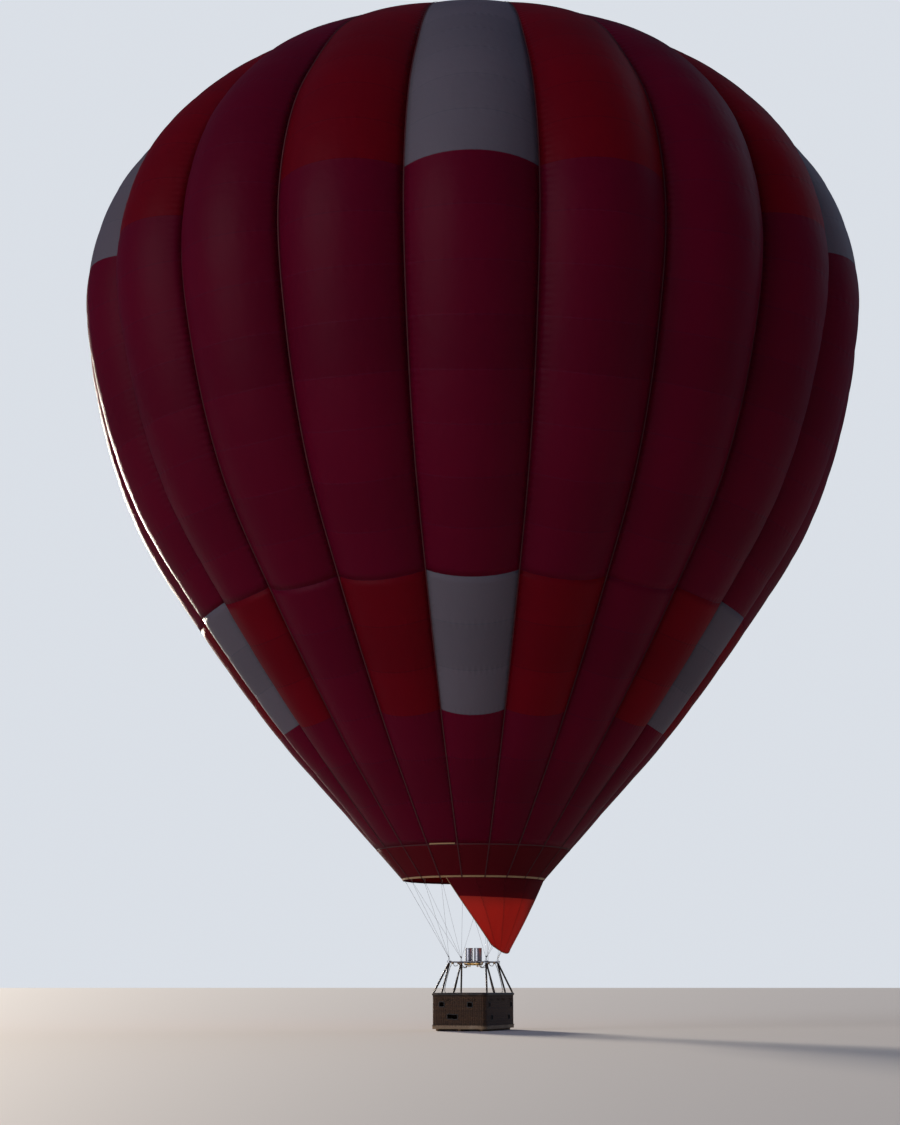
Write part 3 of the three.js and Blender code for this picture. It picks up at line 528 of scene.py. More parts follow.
SHEETS = [("lower", SECTIONS[:2], SECTIONS[2][0]), ("upper", SECTIONS[2:], VENT_LENGTH)]
for part, sections, end in SHEETS:
    rows = gore_rows(sections, end)
    points, place, run = [], [], []
    for length, panels, _ in rows:
        drop = seam_drop(length)
        _, _, _, half_arc = gore_section(length)
        swell = SWELL * math.sin(math.pi * (panels % 1)) ** 0.6 if panels % 1 else 0.0
        for column in range(COLUMNS + 1):
            side = 2 * column / COLUMNS - 1
            bulged = (math.cos(side * half_arc) - math.cos(half_arc)) / (1 - math.cos(half_arc))
            along = length + drop * (SEAM_END_SHARE - bulged)
            _, _, arc_radius, half_angle = gore_section(along)
            points.append(gore_point(along, side, swell * (1 - side**4)))
            place.append((side, panels, length))
            run.append((side * half_angle * arc_radius, along, 0))
    section_rows = [section for _, _, section in rows[:-1]]
    starts = range(0, len(points), COLUMNS + 1)
    widest = max((points[first + COLUMNS] - points[first]).length for first in starts)
    for gore in range(GORES):
        turn = Matrix.Rotation(gore * GORE_PITCH, 4, "Z")
        name = f"gore_{gore + 1:02d}_{part}"
        materials = [cloths[finishes[gore % 4]] for _, _, finishes in sections]
        places = {"gore_place": place, "cloth_run": run}
        mesh = grid_mesh(name, [turn @ point for point in points], COLUMNS, section_rows, materials, places)
        area = area_of(mesh)
        piece = shown_object(name, mesh)
        thicken(piece)
        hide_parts(f"gore_{gore + 1:02d}")
    measures = [round(value, 2) for value in (end - sections[0][0], widest, area)]
    print(part, "sheets: length, width and area", measures)

# %% [markdown]
# ## Helpers for rigid pieces
# Most small pieces are a turned profile, a tube along a path or a bevelled block. Each helper adds one
# to a bmesh, and the bmesh becomes one object, with smooth faces and sharp edges where it turns hard.
# A tube also keeps its run, the turn about it and the metres along it, for ropes and woven covers.

# %% Shape helpers
def place_grid(mesh_data, rings, closed_path=False, caps=False, runs=None):
    # Rings of points joined to their neighbours; a cap closes each end with one face
    layer = mesh_data.verts.layers.float_vector.get("run") or mesh_data.verts.layers.float_vector.new("run")
    made = []
    for number, ring in enumerate(rings):
        row = [mesh_data.verts.new(point) for point in ring]
        if runs:
            for vertex, run in zip(row, runs[number]):
                vertex[layer] = run
        made.append(row)
    count = len(made)
    sides = len(made[0])
    for index in range(count if closed_path else count - 1):
        lower, upper = made[index], made[(index + 1) % count]
        for side in range(sides):
            after = (side + 1) % sides
            mesh_data.faces.new((lower[side], lower[after], upper[after], upper[side]))
    if caps and not closed_path:
        mesh_data.faces.new(made[0][::-1])
        mesh_data.faces.new(made[-1])


def tube(mesh_data, points, radius, sides=10, closed=False):
    points = [Vector(point) for point in points]
    count = len(points)
    radii = radius if isinstance(radius, (list, tuple)) else [radius] * count
    ahead = []
    for index in range(count):
        before = points[(index - 1) % count] if closed or index else points[0]
        after = points[(index + 1) % count] if closed or index < count - 1 else points[-1]
        ahead.append((after - before).normalized())
    normal = ahead[0].orthogonal().normalized()
    rings, runs, length = [], [], 0.0
    for index, (point, forward) in enumerate(zip(points, ahead)):
        if index:
            normal = ahead[index - 1].rotation_difference(forward) @ normal
            length += (point - points[index - 1]).length
        other = forward.cross(normal)
        turns = [2 * math.pi * side / sides for side in range(sides)]
        rings.append([point + radii[index] * (math.cos(t) * normal + math.sin(t) * other) for t in turns])
        runs.append([(math.cos(t), math.sin(t), length) for t in turns])
    place_grid(mesh_data, rings, closed_path=closed, caps=True, runs=runs)


def turned(mesh_data, profile, centre=(0, 0, 0), segments=32, matrix=None):
    # profile: pairs of radius and height from one end to the other, closed at radius 0 or back on itself
    matrix = matrix or Matrix.Translation(centre)
    ends = (profile[0][0] == 0, profile[-1][0] == 0)
    body = profile[1 if ends[0] else 0 : len(profile) - 1 if ends[1] else len(profile)]
    rings, runs = [], []
    for radius, height in body:
        turns = [2 * math.pi * side / segments for side in range(segments)]
        rings.append([matrix @ Vector((radius * math.cos(t), radius * math.sin(t), height)) for t in turns])
        runs.append([(math.cos(t), math.sin(t), height) for t in turns])
    place_grid(mesh_data, rings, closed_path=not any(ends), caps=all(ends), runs=runs)


def block(mesh_data, size, centre, bevel=0.004, matrix=None):
    made = bmesh.ops.create_cube(mesh_data, size=1)["verts"]
    place = matrix or Matrix.Translation(centre)
    for vertex in made:
        vertex.co = place @ Vector([coordinate * length for coordinate, length in zip(vertex.co, size)])
    edges = list({edge for vertex in made for edge in vertex.link_edges})
    bmesh.ops.bevel(mesh_data, geom=edges, offset=bevel, segments=2, affect="EDGES", profile=0.6)


def mesh_of(mesh_data, name):
    bmesh.ops.recalc_face_normals(mesh_data, faces=mesh_data.faces)
    mesh = bpy.data.meshes.new(name)
    mesh_data.to_mesh(mesh)
    mesh_data.free()
    return mesh


def smooth_shaded(mesh, sharp=40):
    mesh.shade_smooth()
    mesh.set_sharp_from_angle(angle=math.radians(sharp))


def finished(mesh_data, name, finish, body="balloon", replaces=(), sharp=40):
    # The bmesh as one object on a body, in place of CAD nodes or beside them
    mesh = mesh_of(mesh_data, name)
    smooth_shaded(mesh, sharp)
    mesh.materials.append(looks[finish])
    made = shown_object(name, mesh, body)
    if replaces:
        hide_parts(*replaces)
    return made


def arc(centre, radius, start, end, count):
    # Points on a level arc, angles in degrees
    turns = [math.radians(start + (end - start) * index / count) for index in range(count + 1)]
    return [Vector(centre) + Vector((radius * math.cos(t), radius * math.sin(t), 0)) for t in turns]


def ground(x, y, height):
    return Vector((x, y, height - LIFT_CENTRE))


def lying(centre):
    # Turns a profile's axis level, along Y
    return Matrix.Translation(centre) @ Matrix.Rotation(math.pi / 2, 4, "X")


print("shape helpers ready")

# %% [markdown]
# ## Finishes for webbing, rope, metal, leather, willow and timber
# Real surfaces are never one flat colour: metal is brushed, leather has a grain and rubbed places, and
# wood has fibres along it. One group mixes a base colour with a darker grain and a rubbed colour, with
# its noise stretched along the grain. A second one lays strands round a rope or a cable, and the grooves
# between the strands get a painted shade.

# %% Groups for worn surfaces and laid strands
worn, enter, leave = new_group(
    "worn_surface",
    "ShaderNodeTree",
    [
        ("Vector", "Vector", None),
        ("Stretch", "Vector", (1, 1, 1)),
        ("Scale", "Float", 20.0),
        ("Base", "Color", (0.5, 0.5, 0.5, 1)),
        ("Grain", "Color", (0.2, 0.2, 0.2, 1)),
        ("Rubbed", "Color", (0.7, 0.7, 0.7, 1)),
        ("Rubbed Share", "Float", 0.2),
        ("Roughness", "Float", 0.5),
    ],
    [("Colour", "Color"), ("Roughness", "Float"), ("Height", "Float")],
)
along = vector_calc(worn, "MULTIPLY", enter["Vector"], enter["Stretch"])
fine = add(
    worn, "ShaderNodeTexNoise", {"Vector": along, "Scale": enter["Scale"], "Detail": 6.0, "Roughness": 0.6}
).outputs[0]
broad = add(worn, "ShaderNodeTexNoise", {"Vector": enter["Vector"], "Scale": 3.1, "Detail": 3.0}).outputs[0]
grained = mixed(worn, smooth_range(worn, fine, 0.3, 0.72), enter["Grain"], enter["Base"])
spots = calc(worn, "MULTIPLY", smooth_range(worn, broad, 0.5, 0.72), smooth_range(worn, fine, 0.35, 0.6))
rubbed = calc(worn, "MULTIPLY", spots, enter["Rubbed Share"])
worn.links.new(mixed(worn, rubbed, grained, enter["Rubbed"]), leave["Colour"])
roughness = calc(worn, "MULTIPLY_ADD", calc(worn, "SUBTRACT", fine, 0.5), 0.3, enter["Roughness"])
worn.links.new(roughness, leave["Roughness"])
worn.links.new(fine, leave["Height"])

strands, enter, leave = new_group(
    "laid_strands",
    "ShaderNodeTree",
    [("Run", "Vector", None), ("Strands", "Float", 3.0), ("Lay", "Float", 0.05)],
    [("Height", "Float"), ("Groove", "Float")],
)
run = add(strands, "ShaderNodeSeparateXYZ", {0: enter["Run"]}).outputs
turn = calc(strands, "MULTIPLY", calc(strands, "ARCTAN2", run["Y"], run["X"]), enter["Strands"])
twist = calc(strands, "MULTIPLY", calc(strands, "DIVIDE", run["Z"], enter["Lay"]), 2 * math.pi)
half_turn = calc(strands, "MULTIPLY", calc(strands, "ADD", turn, twist), 0.5)
bead = calc(strands, "ABSOLUTE", calc(strands, "COSINE", half_turn))
strands.links.new(bead, leave["Height"])
# This output marks the grooves between strands, where the colour gets a painted shade
strands.links.new(calc(strands, "SUBTRACT", 1.0, smooth_range(strands, bead, 0.0, 0.5)), leave["Groove"])


# %% Finishes
def finish_material(
    name, base, grain, rubbed, stretch=(1, 1, 1), scale=20.0, share=0.3, roughness=0.5, metal=0.0,
    depth=0.001, sheen=0.0, specular=0.5, laid=None, tone=None, along_run=False
):
    # laid=(count, lay) lays strands round a tube, and tone names the attribute that shades each rod
    material = bpy.data.materials.new(name)
    material.use_nodes = True
    tree = material.node_tree
    surface = tree.nodes["Principled BSDF"]
    surface.inputs["Metallic"].default_value = metal
    surface.inputs["Sheen Weight"].default_value = sheen
    surface.inputs["Specular IOR Level"].default_value = specular
    where = add(tree, "ShaderNodeTexCoord").outputs["Object"]
    if along_run:
        where = add(tree, "ShaderNodeAttribute", attribute_name="run").outputs["Vector"]
    wear = tree.nodes.new("ShaderNodeGroup")
    wear.node_tree = worn
    values = {"Vector": where, "Stretch": stretch, "Scale": scale, "Base": base, "Grain": grain}
    values.update({"Rubbed": rubbed, "Rubbed Share": share, "Roughness": roughness})
    fill(tree, wear, values)
    colour, height = wear.outputs["Colour"], wear.outputs["Height"]
    if tone:
        drawn = add(tree, "ShaderNodeAttribute", attribute_name=tone).outputs["Fac"]
        level = calc(tree, "MULTIPLY_ADD", drawn, 0.75, 0.55)
        shade = add(tree, "ShaderNodeCombineXYZ", {0: level, 1: level, 2: level}).outputs[0]
        colour = mixed(tree, 1.0, colour, shade, "MULTIPLY")
    if laid:
        cords = tree.nodes.new("ShaderNodeGroup")
        cords.node_tree = strands
        run_along = add(tree, "ShaderNodeAttribute", attribute_name="run").outputs["Vector"]
        fill(tree, cords, {"Run": run_along, "Strands": laid[0], "Lay": laid[1]})
        # The grooves between strands are darkened towards the grain colour: painted shade
        colour = mixed(tree, calc(tree, "MULTIPLY", cords.outputs["Groove"], 0.7), colour, grain)
        height = calc(tree, "MULTIPLY_ADD", cords.outputs["Height"], 3.0, height)
    bump = add(tree, "ShaderNodeBump", {"Height": height, "Distance": depth, "Strength": 1.0})
    tree.links.new(colour, surface.inputs["Base Color"])
    tree.links.new(wear.outputs["Roughness"], surface.inputs["Roughness"])
    tree.links.new(bump.outputs[0], surface.inputs["Normal"])
    return material


WEBBING = dict(scale=900, roughness=0.75, depth=0.0004)
LINE = dict(scale=600, roughness=0.8, laid=(8, 0.03))
FINISHES = [  # name, its base, grain and rubbed colours, settings
    ("pale_webbing", (196, 176, 158), (150, 128, 112), (214, 200, 184), dict(WEBBING, sheen=0.2)),
    ("load_webbing", (96, 42, 46), (70, 28, 32), (124, 70, 70), dict(WEBBING, specular=0.2)),
    ("gold_webbing", (190, 150, 104), (140, 104, 66), (206, 172, 130), dict(WEBBING, sheen=0.2)),
    ("red_line", (170, 24, 26), (90, 10, 14), (190, 60, 56), LINE),
    ("white_line", (206, 204, 198), (150, 148, 142), (222, 220, 216), LINE),
    (
        "brown_rope", (96, 72, 50), (54, 38, 26), (130, 104, 78),
        dict(scale=500, roughness=0.85, laid=(3, 0.04), depth=0.0012)
    ),
    (
        "wire_rope", (150, 152, 156), (70, 72, 76), (190, 192, 196),
        dict(scale=300, roughness=0.35, metal=1.0, laid=(6, 0.04), depth=0.0006)
    ),
    (
        "brushed_steel", (176, 178, 182), (142, 144, 150), (206, 208, 212),
        dict(stretch=(1, 1, 14), scale=60, roughness=0.3, metal=1.0, depth=0.0002)
    ),
    (
        "frame_steel", (158, 161, 166), (120, 122, 128), (196, 198, 204),
        dict(scale=45, roughness=0.34, metal=1.0, depth=0.0003)
    ),
    (
        "brass", (186, 150, 88), (140, 106, 56), (214, 184, 124),
        dict(scale=55, roughness=0.32, metal=1.0, depth=0.0003)
    ),
    ("black_grip", (30, 30, 32), (16, 16, 18), (70, 70, 72), dict(scale=240, roughness=0.65, depth=0.0008)),
    ("red_grip", (150, 22, 24), (96, 12, 14), (176, 70, 66), dict(scale=240, roughness=0.55, depth=0.0006)),
    (
        "hose", (58, 56, 54), (30, 29, 28), (120, 118, 114),
        dict(scale=300, roughness=0.6, laid=(14, 0.05), depth=0.0006)
    ),
    (
        "upright_leather", (62, 44, 34), (34, 23, 18), (128, 100, 78),
        dict(scale=160, roughness=0.55, share=0.5, depth=0.0012)
    ),
    (
        "rim_leather", (44, 36, 31), (22, 17, 15), (112, 92, 74),
        dict(scale=170, roughness=0.5, share=0.55, depth=0.0014)
    ),
    (
        "rawhide", (166, 136, 100), (110, 84, 58), (196, 172, 140),
        dict(scale=70, roughness=0.6, share=0.5, depth=0.0012)
    ),
    (
        "willow", (101, 68, 40), (54, 32, 17), (127, 99, 66),
        dict(scale=30, roughness=0.6, share=0.5, depth=0.0008, tone="rod_tone", along_run=True)
    ),
    (
        "timber", (152, 118, 76), (104, 76, 46), (190, 160, 120),
        dict(stretch=(9, 1, 9), scale=16, roughness=0.65, share=0.6, depth=0.0012)
    ),
    (
        "plywood", (158, 126, 84), (118, 88, 54), (128, 108, 84),
        dict(stretch=(1, 8, 8), scale=12, roughness=0.6, share=0.8, depth=0.0008)
    ),
]
looks = {
    name: finish_material(name, colour_of(*base), colour_of(*grain), colour_of(*rubbed), **settings)
    for name, base, grain, rubbed, settings in FINISHES
}
print("finishes:", len(looks))

# %% [markdown]
# ## Load tapes
# Each load tape is a band of webbing sewn over the seam between two gores, from the mouth to the vent.
# All twenty are alike, so one is built as a ribbon that follows the valley, and Geometry Nodes repeat it
# round the envelope's axis. The same small tree serves everything else here that stands in a ring.

# %% Tree that repeats a piece round the axis
ring_tree, enter, leave = new_group(
    "repeat_round_axis",
    "GeometryNodeTree",
    [
        ("Geometry", "Geometry", None),
        ("Count", "Int", 20),
        ("First Turn", "Float", 0.0),
        ("Material", "Material", None),
    ],
    [("Geometry", "Geometry")],
)
spots = add(ring_tree, "GeometryNodePoints", {"Count": enter["Count"]}).outputs[0]
step = calc(ring_tree, "DIVIDE", 2 * math.pi, enter["Count"])
number = add(ring_tree, "GeometryNodeInputIndex").outputs[0]
turn = calc(ring_tree, "MULTIPLY_ADD", number, step, enter["First Turn"])
rotation = add(ring_tree, "ShaderNodeCombineXYZ", {2: turn}).outputs[0]
inputs = {"Points": spots, "Instance": enter["Geometry"], "Rotation": rotation}
copies = add(ring_tree, "GeometryNodeInstanceOnPoints", inputs).outputs[0]
real = add(ring_tree, "GeometryNodeRealizeInstances", {0: copies}).outputs[0]
inputs = {"Geometry": real, "Material": enter["Material"]}
ring_tree.links.new(add(ring_tree, "GeometryNodeSetMaterial", inputs).outputs[0], leave[0])


def grown(base, tree, values):
    # Runs a tree on an object's mesh and keeps the result as the object's plain mesh
    modifier = base.modifiers.new("nodes", "NODES")
    modifier.node_group = tree
    for item in tree.interface.items_tree:
        if item.item_type == "SOCKET" and item.in_out == "INPUT" and item.name in values:
            modifier[item.identifier] = values[item.name]
    base.update_tag()
    graph = bpy.context.evaluated_depsgraph_get()
    shown = base.evaluated_get(graph)
    result = bpy.data.meshes.new_from_object(shown, preserve_all_data_layers=True, depsgraph=graph)
    base.modifiers.clear()
    result.name = base.name
    base.data = result
    return result


def repeated(mesh_data, name, finish, turn=0.0, body="balloon"):
    # The bmesh once for each gore, as one object
    made = shown_object(name, mesh_of(mesh_data, name), body)
    grown(made, ring_tree, {"Count": GORES, "First Turn": turn, "Material": looks[finish]})
    smooth_shaded(made.data)
    print(name, len(made.data.polygons), "faces")
    return made


# %% Load tapes over the seams
def seam_frame(length):
    # On the seam at azimuth half a gore: point, outward normal and the level direction across it
    here, above, below = (gore_point(place, 1) for place in (length, length + 0.05, length - 0.05))
    turn = Matrix.Rotation(GORE_PITCH / 2, 3, "Z")
    across = turn @ ALONG_X
    upwards = (above - below).normalized()
    return here, across.cross(upwards).normalized(), across


def ribbon(mesh_data, frames, width, thickness, lift=0.0):
    # A flat strip that follows frames of point, normal and across; lift raises it along the normal
    rings, runs, length, last = [], [], 0.0, None
    for point, normal, across in frames:
        length += (point - last).length if last else 0.0
        last = point
        inner, outer = point + normal * lift, point + normal * (lift + thickness)
        half = across * width / 2
        rings.append([inner - half, inner + half, outer + half, outer - half])
        runs.append([(0, 0, length), (width, 0, length), (width, 0, length), (0, 0, length)])
    place_grid(mesh_data, rings, caps=True, runs=runs)


TAPE_WIDTH, TAPE_THICKNESS, TAPE_LIFT = 0.036, 0.004, 0.016  # lift is above the bottom of the valley
tape_lengths = np.linspace(0.0, VENT_LENGTH - 0.02, 110)
tape_mesh = bmesh.new()
tape_frames = [seam_frame(length) for length in tape_lengths]
ribbon(tape_mesh, tape_frames, TAPE_WIDTH, TAPE_THICKNESS, TAPE_LIFT)
repeated(tape_mesh, "load_tapes", "load_webbing")

# %% [markdown]
# ## Mouth band, rim tape and scoop
# Near the flame the nylon gives way to a heat-proof cloth. The band is one ring of twenty shallow
# panels, bound with tape above and below. The scoop hangs from its windward half and draws the air in:
# a dark strip at the top, then a thin red cloth that glows against the light.

# %% Cloth for the mouth
cloths["band"] = cloth_row("band_cloth", (104, 14, 26), (70, 12, 20), (2.6, 1.2, 1.2), 0.35, 0.7)
cloths["scoop"] = cloth_row("scoop_cloth", (194, 68, 56), (156, 44, 36), (1.08, 1.2, 1.1), 0.5, 0.65)
RING_COLUMNS = GORES * 8  # columns of a sheet that goes all round


def cloth_grid(name, surface, columns, row_materials, materials, places, closed=False):
    # A sheet from surface(column, row), both from 0 to 1, with what the cloth's shader reads
    rows = len(row_materials)
    points, where, run = [], [], []
    for row in range(rows + 1):
        for column in range(columns if closed else columns + 1):
            points.append(surface(column / columns, row / rows))
            place, metres = places(column / columns, row / rows)
            where.append(place)
            run.append(metres)
    read = {"gore_place": where, "cloth_run": run}
    return grid_mesh(name, points, columns, row_materials, materials, read, closed)


def band_surface(column, row):
    gore = column * GORES
    number = int(gore)
    length = (length_at_height(MOUTH_BAND_TOP) + 0.02) * row
    point = gore_point(length, 2 * (gore - number) - 1, 0.004)
    return Matrix.Rotation(number * GORE_PITCH, 3, "Z") @ point


def band_places(column, row):
    gore = column * GORES
    return (2 * (gore % 1) - 1, 0.5 + 0.3 * row, 1.3 * row), (gore * 0.9, 1.3 * row, 0)


band_mesh = cloth_grid(
    "mouth_band_cloth", band_surface, RING_COLUMNS, [0] * 10, [cloths["band"]], band_places, closed=True
)
band = shown_object("mouth_band_cloth", band_mesh)
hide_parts("mouth_band")
thicken(band)

for name, row, tall, finish in (
    ("mouth_rim_tape", 0.0, 0.05, "gold_webbing"), ("mouth_band_tape", 0.98, 0.035, "load_webbing")
):
    tape_mesh = bmesh.new()
    rings, runs = [], []
    for index in range(RING_COLUMNS):
        low = band_surface(index / RING_COLUMNS, row)
        out = Vector((low.x, low.y, 0)).normalized()
        lean = out * tall * 0.75
        rings.append([
            low + out * 0.002 - UP * 0.004,
            low + out * 0.008 - UP * 0.004,
            low + out * 0.008 + lean + UP * tall,
            low + out * 0.002 + lean + UP * tall,
        ])
        runs.append([(0, 0, index * 0.09)] * 4)
    place_grid(tape_mesh, rings, closed_path=True, runs=runs)
    finished(tape_mesh, name, finish)

# %% A short pale tape at the band's top, on the gore at azimuth 0
short_tape = bmesh.new()
frames = []
for step in range(13):
    point = gore_point(length_at_height(MOUTH_BAND_TOP) + 0.05, -0.84 + 1.68 * step / 12, 0.013)
    ahead = Vector((point.x, point.y, 0)).normalized()
    frames.append((point, ahead, UP))
ribbon(short_tape, frames, 0.05, 0.003)
finished(short_tape, "short_band_tape", "gold_webbing")

# %% Scoop
SCOOP_HALF_ANGLE = math.radians(94)
SCOOP_THICKNESS = 0.008
SCOOP_TOP_RADIUS = 2.208
HEM_OUT, HEM_HEIGHT = 0.9, 2.56  # of the hem's ends; its middle hangs further out and lower
HEM_MIDDLE_OUT, HEM_MIDDLE_DROP = 0.17, 0.24


def scoop_surface(column, row):
    across = 2 * column - 1
    azimuth = math.pi / 2 + across * SCOOP_HALF_ANGLE
    top = around(azimuth, SCOOP_TOP_RADIUS, MOUTH_HEIGHT - SEAT)
    sag = math.cos(across * math.pi / 2)
    hem = ground(HEM_OUT + HEM_MIDDLE_OUT * sag, across, HEM_HEIGHT - HEM_MIDDLE_DROP * sag)
    point = hem.lerp(top, row)
    belly = 1 + 0.03 * math.sin(math.pi * row)
    ripple = 0.016 * math.sin(across * 23) * math.sin(math.pi * row) * (1 - across**4)
    out = Vector((point.x, point.y, 0)).normalized()
    return Vector((point.x * belly, point.y * belly, point.z)) + out * ripple


def scoop_places(column, row):
    return ((8 * column) % 1 * 2 - 1, 0.5 + 0.3 * row, 2 * row), (5 * column, 2.3 * row, 0)


scoop_rows = [0] * 16 + [1] * 6  # the dark strip is the top six rows
scoop_materials = [cloths["scoop"], cloths["band"]]
scoop_mesh = cloth_grid("scoop_cloth", scoop_surface, 64, scoop_rows, scoop_materials, scoop_places)
scoop = shown_object("scoop_cloth", scoop_mesh)
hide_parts("scoop")
thicken(scoop, SCOOP_THICKNESS)

hem_mesh = bmesh.new()
hem = [scoop_surface(0, 1 - row / 20) for row in range(21)]
hem += [scoop_surface(column / 48, 0) for column in range(1, 49)]
hem += [scoop_surface(1, row / 20) for row in range(1, 21)]
tube(hem_mesh, [point - Vector((point.x, point.y, 0)).normalized() * 0.004 for point in hem], 0.012, 8)
finished(hem_mesh, "scoop_hem", "gold_webbing")

# %% [markdown]
# ## Crown
# The load tapes run on over the open vent to a steel ring at the very top. A hem of webbing binds the
# vent's edge. One crossing tape is built with the loop that holds the ring, and the tree repeats it.

# %% Crown ring, vent hem and crossing tapes
VENT_EDGE = VENT_RADIUS - 0.0014
HEM_WIDTH = 0.11
RING_RADIUS = 0.21
ring_height = crown_height(0.23)

hem_mesh = bmesh.new()
inner_height, outer_height = crown_height(VENT_EDGE - HEM_WIDTH), crown_height(VENT_EDGE)
hem_section = [
    (VENT_EDGE - HEM_WIDTH, inner_height - 0.007),
    (VENT_EDGE, outer_height - 0.007),
    (VENT_EDGE, outer_height),
    (VENT_EDGE - HEM_WIDTH / 2, (inner_height + outer_height) / 2 + 0.002),
    (VENT_EDGE - HEM_WIDTH, inner_height),
]
turned(hem_mesh, [(radius, height - LIFT_CENTRE) for radius, height in hem_section], segments=120)
finished(hem_mesh, "vent_hem", "pale_webbing", replaces=["crown_ring"])


def crown_frame(radius):
    slope = (crown_height(radius + 0.02) - crown_height(radius - 0.02)) / 0.04
    upwards = Vector((0, slope, 1)).normalized()
    return around(0, radius, crown_height(radius)), upwards, ALONG_X


tape_mesh = bmesh.new()
frames = [crown_frame(radius) for radius in np.linspace(VENT_EDGE - 0.02, RING_RADIUS + 0.035, 26)]
ribbon(tape_mesh, frames, 0.05, 0.004)
centre = Vector((0, -RING_RADIUS, ring_height - LIFT_CENTRE))
frames = []
for angle in range(-60, 241, 20):
    turn = math.radians(angle)
    outward = Vector((0, -math.cos(turn), math.sin(turn)))
    frames.append((centre + outward * 0.0165, outward, ALONG_X))
ribbon(tape_mesh, frames, 0.05, 0.003)
repeated(tape_mesh, "crown_tapes", "pale_webbing", turn=GORE_PITCH / 2)

ring_mesh = bmesh.new()
ring_path = [
    Vector((RING_RADIUS * math.cos(a), RING_RADIUS * math.sin(a), ring_height - LIFT_CENTRE))
    for a in np.linspace(0, 2 * math.pi, 73)[:-1]
]
tube(ring_mesh, ring_path, 0.014, 14, closed=True)
finished(ring_mesh, "crown_metal_ring", "brushed_steel")

# %% [markdown]
# ## Parachute valve and its lines
# A disc of cloth lies under the vent, held up by the hot air. Centring lines keep it in the middle, and
# shroud lines gather to a pulley, from which the red line hangs to the burner frame. What belongs to the
# disc moves with it. A line that joins it to the envelope or to the frame is on no body.

# %% Valve disc
VALVE_RADIUS = 3.26
VALVE_DROP = 0.026
cloths["valve"] = cloth_row("valve_cloth", (150, 10, 34), (96, 6, 26), (3.0, 1.0, 0.8), 0.5, 0.5)


def valve_surface(column, row):
    radius = VALVE_RADIUS - row * (VALVE_RADIUS - 0.02)
    scallop = 0.03 * abs(math.sin(column * GORES * math.pi)) * smoothstep(radius, 2.6, VALVE_RADIUS)
    pucker = 0.006 * math.cos(column * 2 * GORES * math.pi) * smoothstep(radius, 1.0, 2.4)
    height = crown_height(max(radius, 0.02)) - VALVE_DROP - scallop * 0.3 + pucker * 0.5
    return around(column * 2 * math.pi, radius, height)


def valve_places(column, row):
    radius, turn = VALVE_RADIUS - row * VALVE_RADIUS, column * 2 * math.pi
    place = ((column * GORES) % 1 * 2 - 1, 0.5 + 0.3 * row, radius)
    return place, (radius * math.sin(turn), radius * math.cos(turn), 0)


valve_mesh = cloth_grid(
    "parachute_cloth", valve_surface, RING_COLUMNS, [0] * 24, [cloths["valve"]], valve_places, closed=True
)
valve_data = bmesh.new()
valve_data.from_mesh(valve_mesh)
middle_hole = [edge for edge in valve_data.edges if edge.is_boundary and edge.verts[0].co.xy.length < 0.5]
bmesh.ops.holes_fill(valve_data, edges=middle_hole)
valve_data.to_mesh(valve_mesh)
valve_data.free()
valve = shown_object("parachute_cloth", valve_mesh, "parachute")
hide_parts("parachute_valve")
thicken(valve)

patch_mesh = bmesh.new()
patch_top = ring_height - 0.0155 - LIFT_CENTRE
cloth_top = crown_height(0.2) - VALVE_DROP - LIFT_CENTRE
patch_profile = [
    (0, cloth_top - 0.004), (0.215, cloth_top - 0.004), (0.222, cloth_top), (0.216, patch_top),
    (0, patch_top)
]
turned(patch_mesh, patch_profile, segments=40)
finished(patch_mesh, "parachute_patch", "pale_webbing", "parachute")
hem_mesh = bmesh.new()
hem_path = [valve_surface(column / 160, 0) - UP * 0.006 for column in range(160)]
tube(hem_mesh, hem_path, 0.009, 8, closed=True)
finished(hem_mesh, "parachute_hem", "pale_webbing", "parachute")

# %% Lines of the valve
PULLEY_HEIGHT = 26.4
LINE_RADIUS = 0.004
rim_height = crown_height(VALVE_RADIUS) - VALVE_DROP - 0.012
line_mesh = bmesh.new()
tube(line_mesh, [around(0, 3.2, rim_height), around(0, 0.05, PULLEY_HEIGHT + 0.1)], LINE_RADIUS, 6)
repeated(line_mesh, "shroud_lines", "white_line", turn=GORE_PITCH / 2, body="parachute")

anchor, normal, _ = seam_frame(VENT_LENGTH - 2.4)
anchor = Matrix.Rotation(-GORE_PITCH / 2, 3, "Z") @ (anchor - normal * TAPE_LIFT)
line_mesh = bmesh.new()
valve_edge = around(0, 3.24, rim_height)
tube(line_mesh, [anchor.lerp(valve_edge, part / 6) for part in range(7)], LINE_RADIUS, 6)
centring_lines = repeated(line_mesh, "centring_lines", "white_line", turn=GORE_PITCH / 2, body=None)
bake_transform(centring_lines)

pulley_mesh = bmesh.new()
pulley_centre = Vector((0, 0, PULLEY_HEIGHT - LIFT_CENTRE))
tube(pulley_mesh, arc(pulley_centre + UP * 0.09, 0.05, 0, 350, 28), 0.006, 8, closed=True)
turned(
    pulley_mesh,
    [(0, -0.014), (0.03, -0.014), (0.045, -0.01), (0.034, 0), (0.045, 0.01), (0.03, 0.014), (0, 0.014)],
    matrix=lying(pulley_centre)
)
for side in (-1, 1):
    block(pulley_mesh, (0.06, 0.004, 0.16), pulley_centre + Vector((0, side * 0.019, 0.02)), 0.0015)
finished(pulley_mesh, "line_pulley", "brushed_steel", "parachute")

